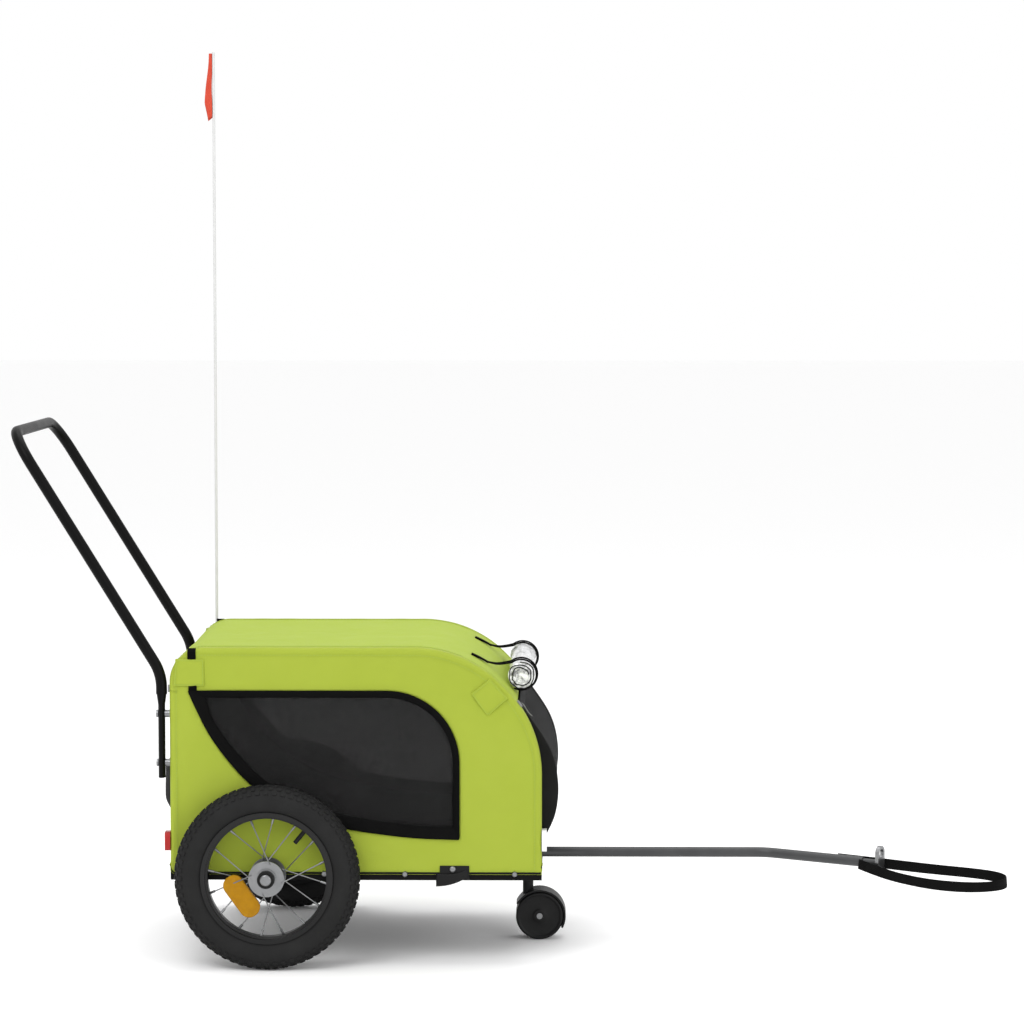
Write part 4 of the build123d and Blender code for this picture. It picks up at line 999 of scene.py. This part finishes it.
for side, y in (("right", -0.128), ("left", 0.128)):

    def tab_strip(u, v):
        at = nose_point(63 - 9 * u, 0.0026 + 0.0022 * u)
        return Vector((at.x, y + (0.012 - 0.005 * u) * (v - 0.5), at.y))

    strip = piece(f"roll_tab_{side}", cloth(16, 6, tab_strip), webbing, "chassis")
    thicken(strip, 0.0030)
    if side == "right":
        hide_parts("roll_ties")
    for strand, (gap, grow) in enumerate(((-0.0055, -0.0002), (0.0055, 0.0016))):
        start = nose_point(54.8, 0.0032)
        line = [Vector((start.x, y + gap * 0.3, start.y))]
        wrap = 0.0252 + grow
        for step in range(41):
            turn = math.radians(128 - step * (238 + 6 * strand) / 40)
            at = Vector((ROLL_X + wrap * math.cos(turn), y + gap, ROLL_Z + wrap * math.sin(turn)))
            line.append(at)
        middle = (line[0] + line[1]) / 2 + Vector((0, gap * 0.4, -0.0035))
        line = [line[0], line[0].lerp(middle, 0.5) + Vector((0, 0, -0.001)), middle] + line[1:]
        smooth = bpy.data.curves.new("elastic_line", "CURVE")
        smooth.dimensions = "3D"
        smooth.resolution_u = 4
        spline = smooth.splines.new("NURBS")
        spline.points.add(len(line) - 1)
        for point, place in zip(spline.points, line):
            point.co = (*place, 1.0)
        spline.order_u = 3
        spline.use_endpoint_u = True
        holder = bpy.data.objects.new("elastic_line", smooth)
        path = [v.co.copy() for v in bpy.data.meshes.new_from_object(holder).vertices]
        bpy.data.objects.remove(holder)
        cord_tube(f"roll_elastic_{side}_{strand}", path, 0.0014, elastic, "chassis", 8)

# The zip's slider carries a thin steel pull that hangs over the door's edge.
pull_path = [
    Vector((0.1150 + 0.0175 * step / 12, -0.2215, 0.4275 - 0.0225 * step / 12 + 0.0012 * math.sin(step * 0.6)))
    for step in range(13)
]
cord_tube("zip_pull", pull_path, 0.0007, zinc, "chassis", 8)

# ---- Caster: twin moulded wheels under a hooded yoke that turns in the frame's socket.
# Each wheel is one moulding with a raised rim, a dished face and a steel rivet.
coat_node(black_plastic, "caster_fork", "caster_bushes")
caster_low, caster_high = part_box("caster_wheels")
CASTER_AT = Vector(((caster_low[0] + caster_high[0]) / 2, 0, (caster_low[2] + caster_high[2]) / 2))
caster_tread = Finish("caster_tread", (0.006, 0.006, 0.006), 0.5, Specular_IOR_Level=0.2)
caster_tread.tint(caster_tread.cloud(0.01), (0.005, 0.005, 0.005), (0.009, 0.009, 0.009))
caster_tread.relief(caster_tread.cloud(0.0008, 2.0), 0.0001)
CASTER_FACE = [
    (0.0041, 0.0072),
    (0.0380, 0.0072),
    (0.0394, 0.0082),
    (0.0400, 0.0100),
    (0.0400, 0.0200),
    (0.0394, 0.0220),
    (0.0380, 0.0230),
    (0.0362, 0.0231),
    (0.0350, 0.0222),
    (0.0330, 0.0208),
    (0.0200, 0.0204),
    (0.0120, 0.0208),
    (0.0100, 0.0226),
    (0.0070, 0.0229),
    (0.0041, 0.0229),
]
caster_shape = bmesh.new()
for face in (-1, 1):
    disc = bmesh.new()
    turned(disc, [(r, face * w) for r, w in CASTER_FACE], CASTER_AT, 72, True)
    carried = bpy.data.meshes.new("disc")
    disc.to_mesh(carried)
    disc.free()
    caster_shape.from_mesh(carried)
    bpy.data.meshes.remove(carried)
casters = piece("caster_discs", caster_shape, caster_tread, "caster_roller")
casters.modifiers.new("edges", "BEVEL").width = 0.0003
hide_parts("caster_wheels")

# ---- Fittings: the rail clips are black plates with a leaf that curves down, held by one
# domed bolt each. Reflectors are moulded lenses, and the flag's sleeve is webbing.
for side, sign in (("right", -1), ("left", 1)):
    clip = bmesh.new()
    plate = bmesh.ops.create_cube(
        clip,
        size=1.0,
        matrix=Matrix.Translation((WHEEL_X + 0.3015, sign * 0.2400, 0.152)) @ Matrix.Diagonal((0.048, 0.0026, 0.0235, 1)),
    )
    bmesh.ops.bevel(
        clip, geom=plate["verts"] + clip.edges[:], offset=0.0008, segments=2, profile=0.5, affect="EDGES", material=-1
    )
    plate_piece = piece(f"{side}_clip_plate", clip, black_plastic, "chassis")
    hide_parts("rail_clips")

    def leaf_place(u, v):
        x = WHEEL_X + 0.2715 + 0.0520 * u
        dip = 0.1405 + 0.0115 * u**2.4
        half = 0.0105 - 0.0045 * u
        return Vector((x, sign * (0.2415 + 0.0045 * math.sin(math.pi * u)), dip + half * (2 * v - 1)))

    leaf = piece(f"{side}_clip_leaf", cloth(20, 8, leaf_place, sign > 0), black_plastic, "chassis")
    thicken(leaf, 0.0020)
    dome = bmesh.new()
    bmesh.ops.create_uvsphere(
        dome,
        u_segments=24,
        v_segments=12,
        radius=1.0,
        matrix=Matrix.Translation((WHEEL_X + 0.2985, sign * 0.2412, 0.1580)) @ Matrix.Diagonal((0.0052, 0.0028, 0.0052, 1)),
    )
    piece(f"{side}_clip_bolt", dome, zinc, "chassis")


def lens_finish(name, colour, paler):
    finish = Finish(name, colour, 0.22, Specular_IOR_Level=0.3)
    x, y, z = finish.split(finish.place())
    cells = (y * 2600).sin() * (z * 2600).sin()
    finish.tint(cells * 0.3 + 0.5, colour, paler)
    finish.relief(cells, 0.0004)
    return finish


coat_node(lens_finish("red_lens", (0.28, 0.006, 0.006), (0.50, 0.020, 0.016)), "rear_reflectors")
coat_node(lens_finish("clear_lens", (0.62, 0.62, 0.63), (0.88, 0.88, 0.88)), "front_reflectors")
coat_node(dark_cloth, "flag_sleeve")

# ---- Safety flag: a thin white glass-fibre pole in a sleeve on the left side, with an
# orange pennant of woven nylon that hangs folded against the pole.
pole_white = Finish("pole_white", (0.55, 0.55, 0.55), 0.4, Specular_IOR_Level=0.2)
pole_white.tint(pole_white.cloud(0.02), (0.50, 0.50, 0.50), (0.60, 0.60, 0.60))
pole_white.relief(pole_white.cloud(0.001), 0.00003)
coat_node(pole_white, "flag_pole")
pole_low, pole_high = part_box("flag_pole")
POLE_X, POLE_Y, POLE_TOP = (pole_low[0] + pole_high[0]) / 2, (pole_low[1] + pole_high[1]) / 2, pole_high[2]
nylon = Finish("flag_nylon", (0.56, 0.065, 0.035), 0.7, Specular_IOR_Level=0.15)
nx, ny, nz = nylon.split(nylon.place())
nylon.tint(nylon.cloud(0.02, 4.0), (0.42, 0.040, 0.020), (0.62, 0.085, 0.048))
nylon.relief(((nx + ny) * 5200).sin() * (nz * 5200).sin() * 0.3 + nylon.cloud(0.02, 3.0), 0.0004)


def flag_place(u, v):
    wide = 0.0050 + 0.0080 * min(v / 0.75, 1.0) ** 1.2
    if v > 0.75:
        wide -= 0.0060 * (v - 0.75) / 0.25
    sway = 0.5 - 0.5 * math.cos(4 * math.pi * u)
    x = POLE_X - 0.0030 - wide * sway + 0.0005 * math.sin(9 * v)
    y = POLE_Y - 0.0026 + 0.0052 * u + 0.0006 * math.sin(5 * v + 7 * u)
    z = POLE_TOP - 0.002 - 0.110 * v - 0.005 * sway * v + 0.002 * math.sin(6 * u) * v
    return Vector((x, y, z))


pennant = piece("flag_pennant", cloth(64, 40, flag_place), nylon, "flag_staff")
thicken(pennant, 0.0002)
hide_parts("flag")

# ---- Floor, lights and the end of the script.
bpy.context.scene.view_settings.view_transform = "Standard"
floor_shape = bmesh.new()
bmesh.ops.create_grid(floor_shape, x_segments=1, y_segments=1, size=30.0)
bmesh.ops.translate(floor_shape, verts=floor_shape.verts, vec=(0, 10, -0.0005))
floor_mesh = bpy.data.meshes.new("studio_floor")
floor_shape.to_mesh(floor_mesh)
floor_shape.free()
studio_floor = bpy.data.objects.new("studio_floor", floor_mesh)
bpy.context.collection.objects.link(studio_floor)
paper = Finish("studio_paper", (0.97, 0.97, 0.97), 0.9)
floor_mesh.materials.append(paper.material)

world = bpy.data.worlds.new("studio_air")
bpy.context.scene.world = world
world.use_nodes = True
world.node_tree.nodes["Background"].inputs["Color"].default_value = (1.0, 1.0, 1.0, 1.0)
world.node_tree.nodes["Background"].inputs["Strength"].default_value = 1.0


def softbox(name, place, aim, size, power):
    light = bpy.data.lights.new(name, "AREA")
    light.shape = "RECTANGLE"
    light.size, light.size_y = size
    light.energy = power
    lamp = bpy.data.objects.new(name, light)
    lamp.location = place
    lamp.rotation_euler = (Vector(aim) - Vector(place)).to_track_quat("-Z", "Y").to_euler()
    bpy.context.collection.objects.link(lamp)


softbox("key", (-1.5, -3.0, 3.6), (0, 0, 0.3), (2.5, 2.0), 70)
softbox("fill", (2.6, -3.2, 1.6), (0.1, 0, 0.3), (2.5, 2.0), 30)
softbox("top", (0, 0.6, 4.0), (0, 0, 0.3), (3.0, 3.0), 60)
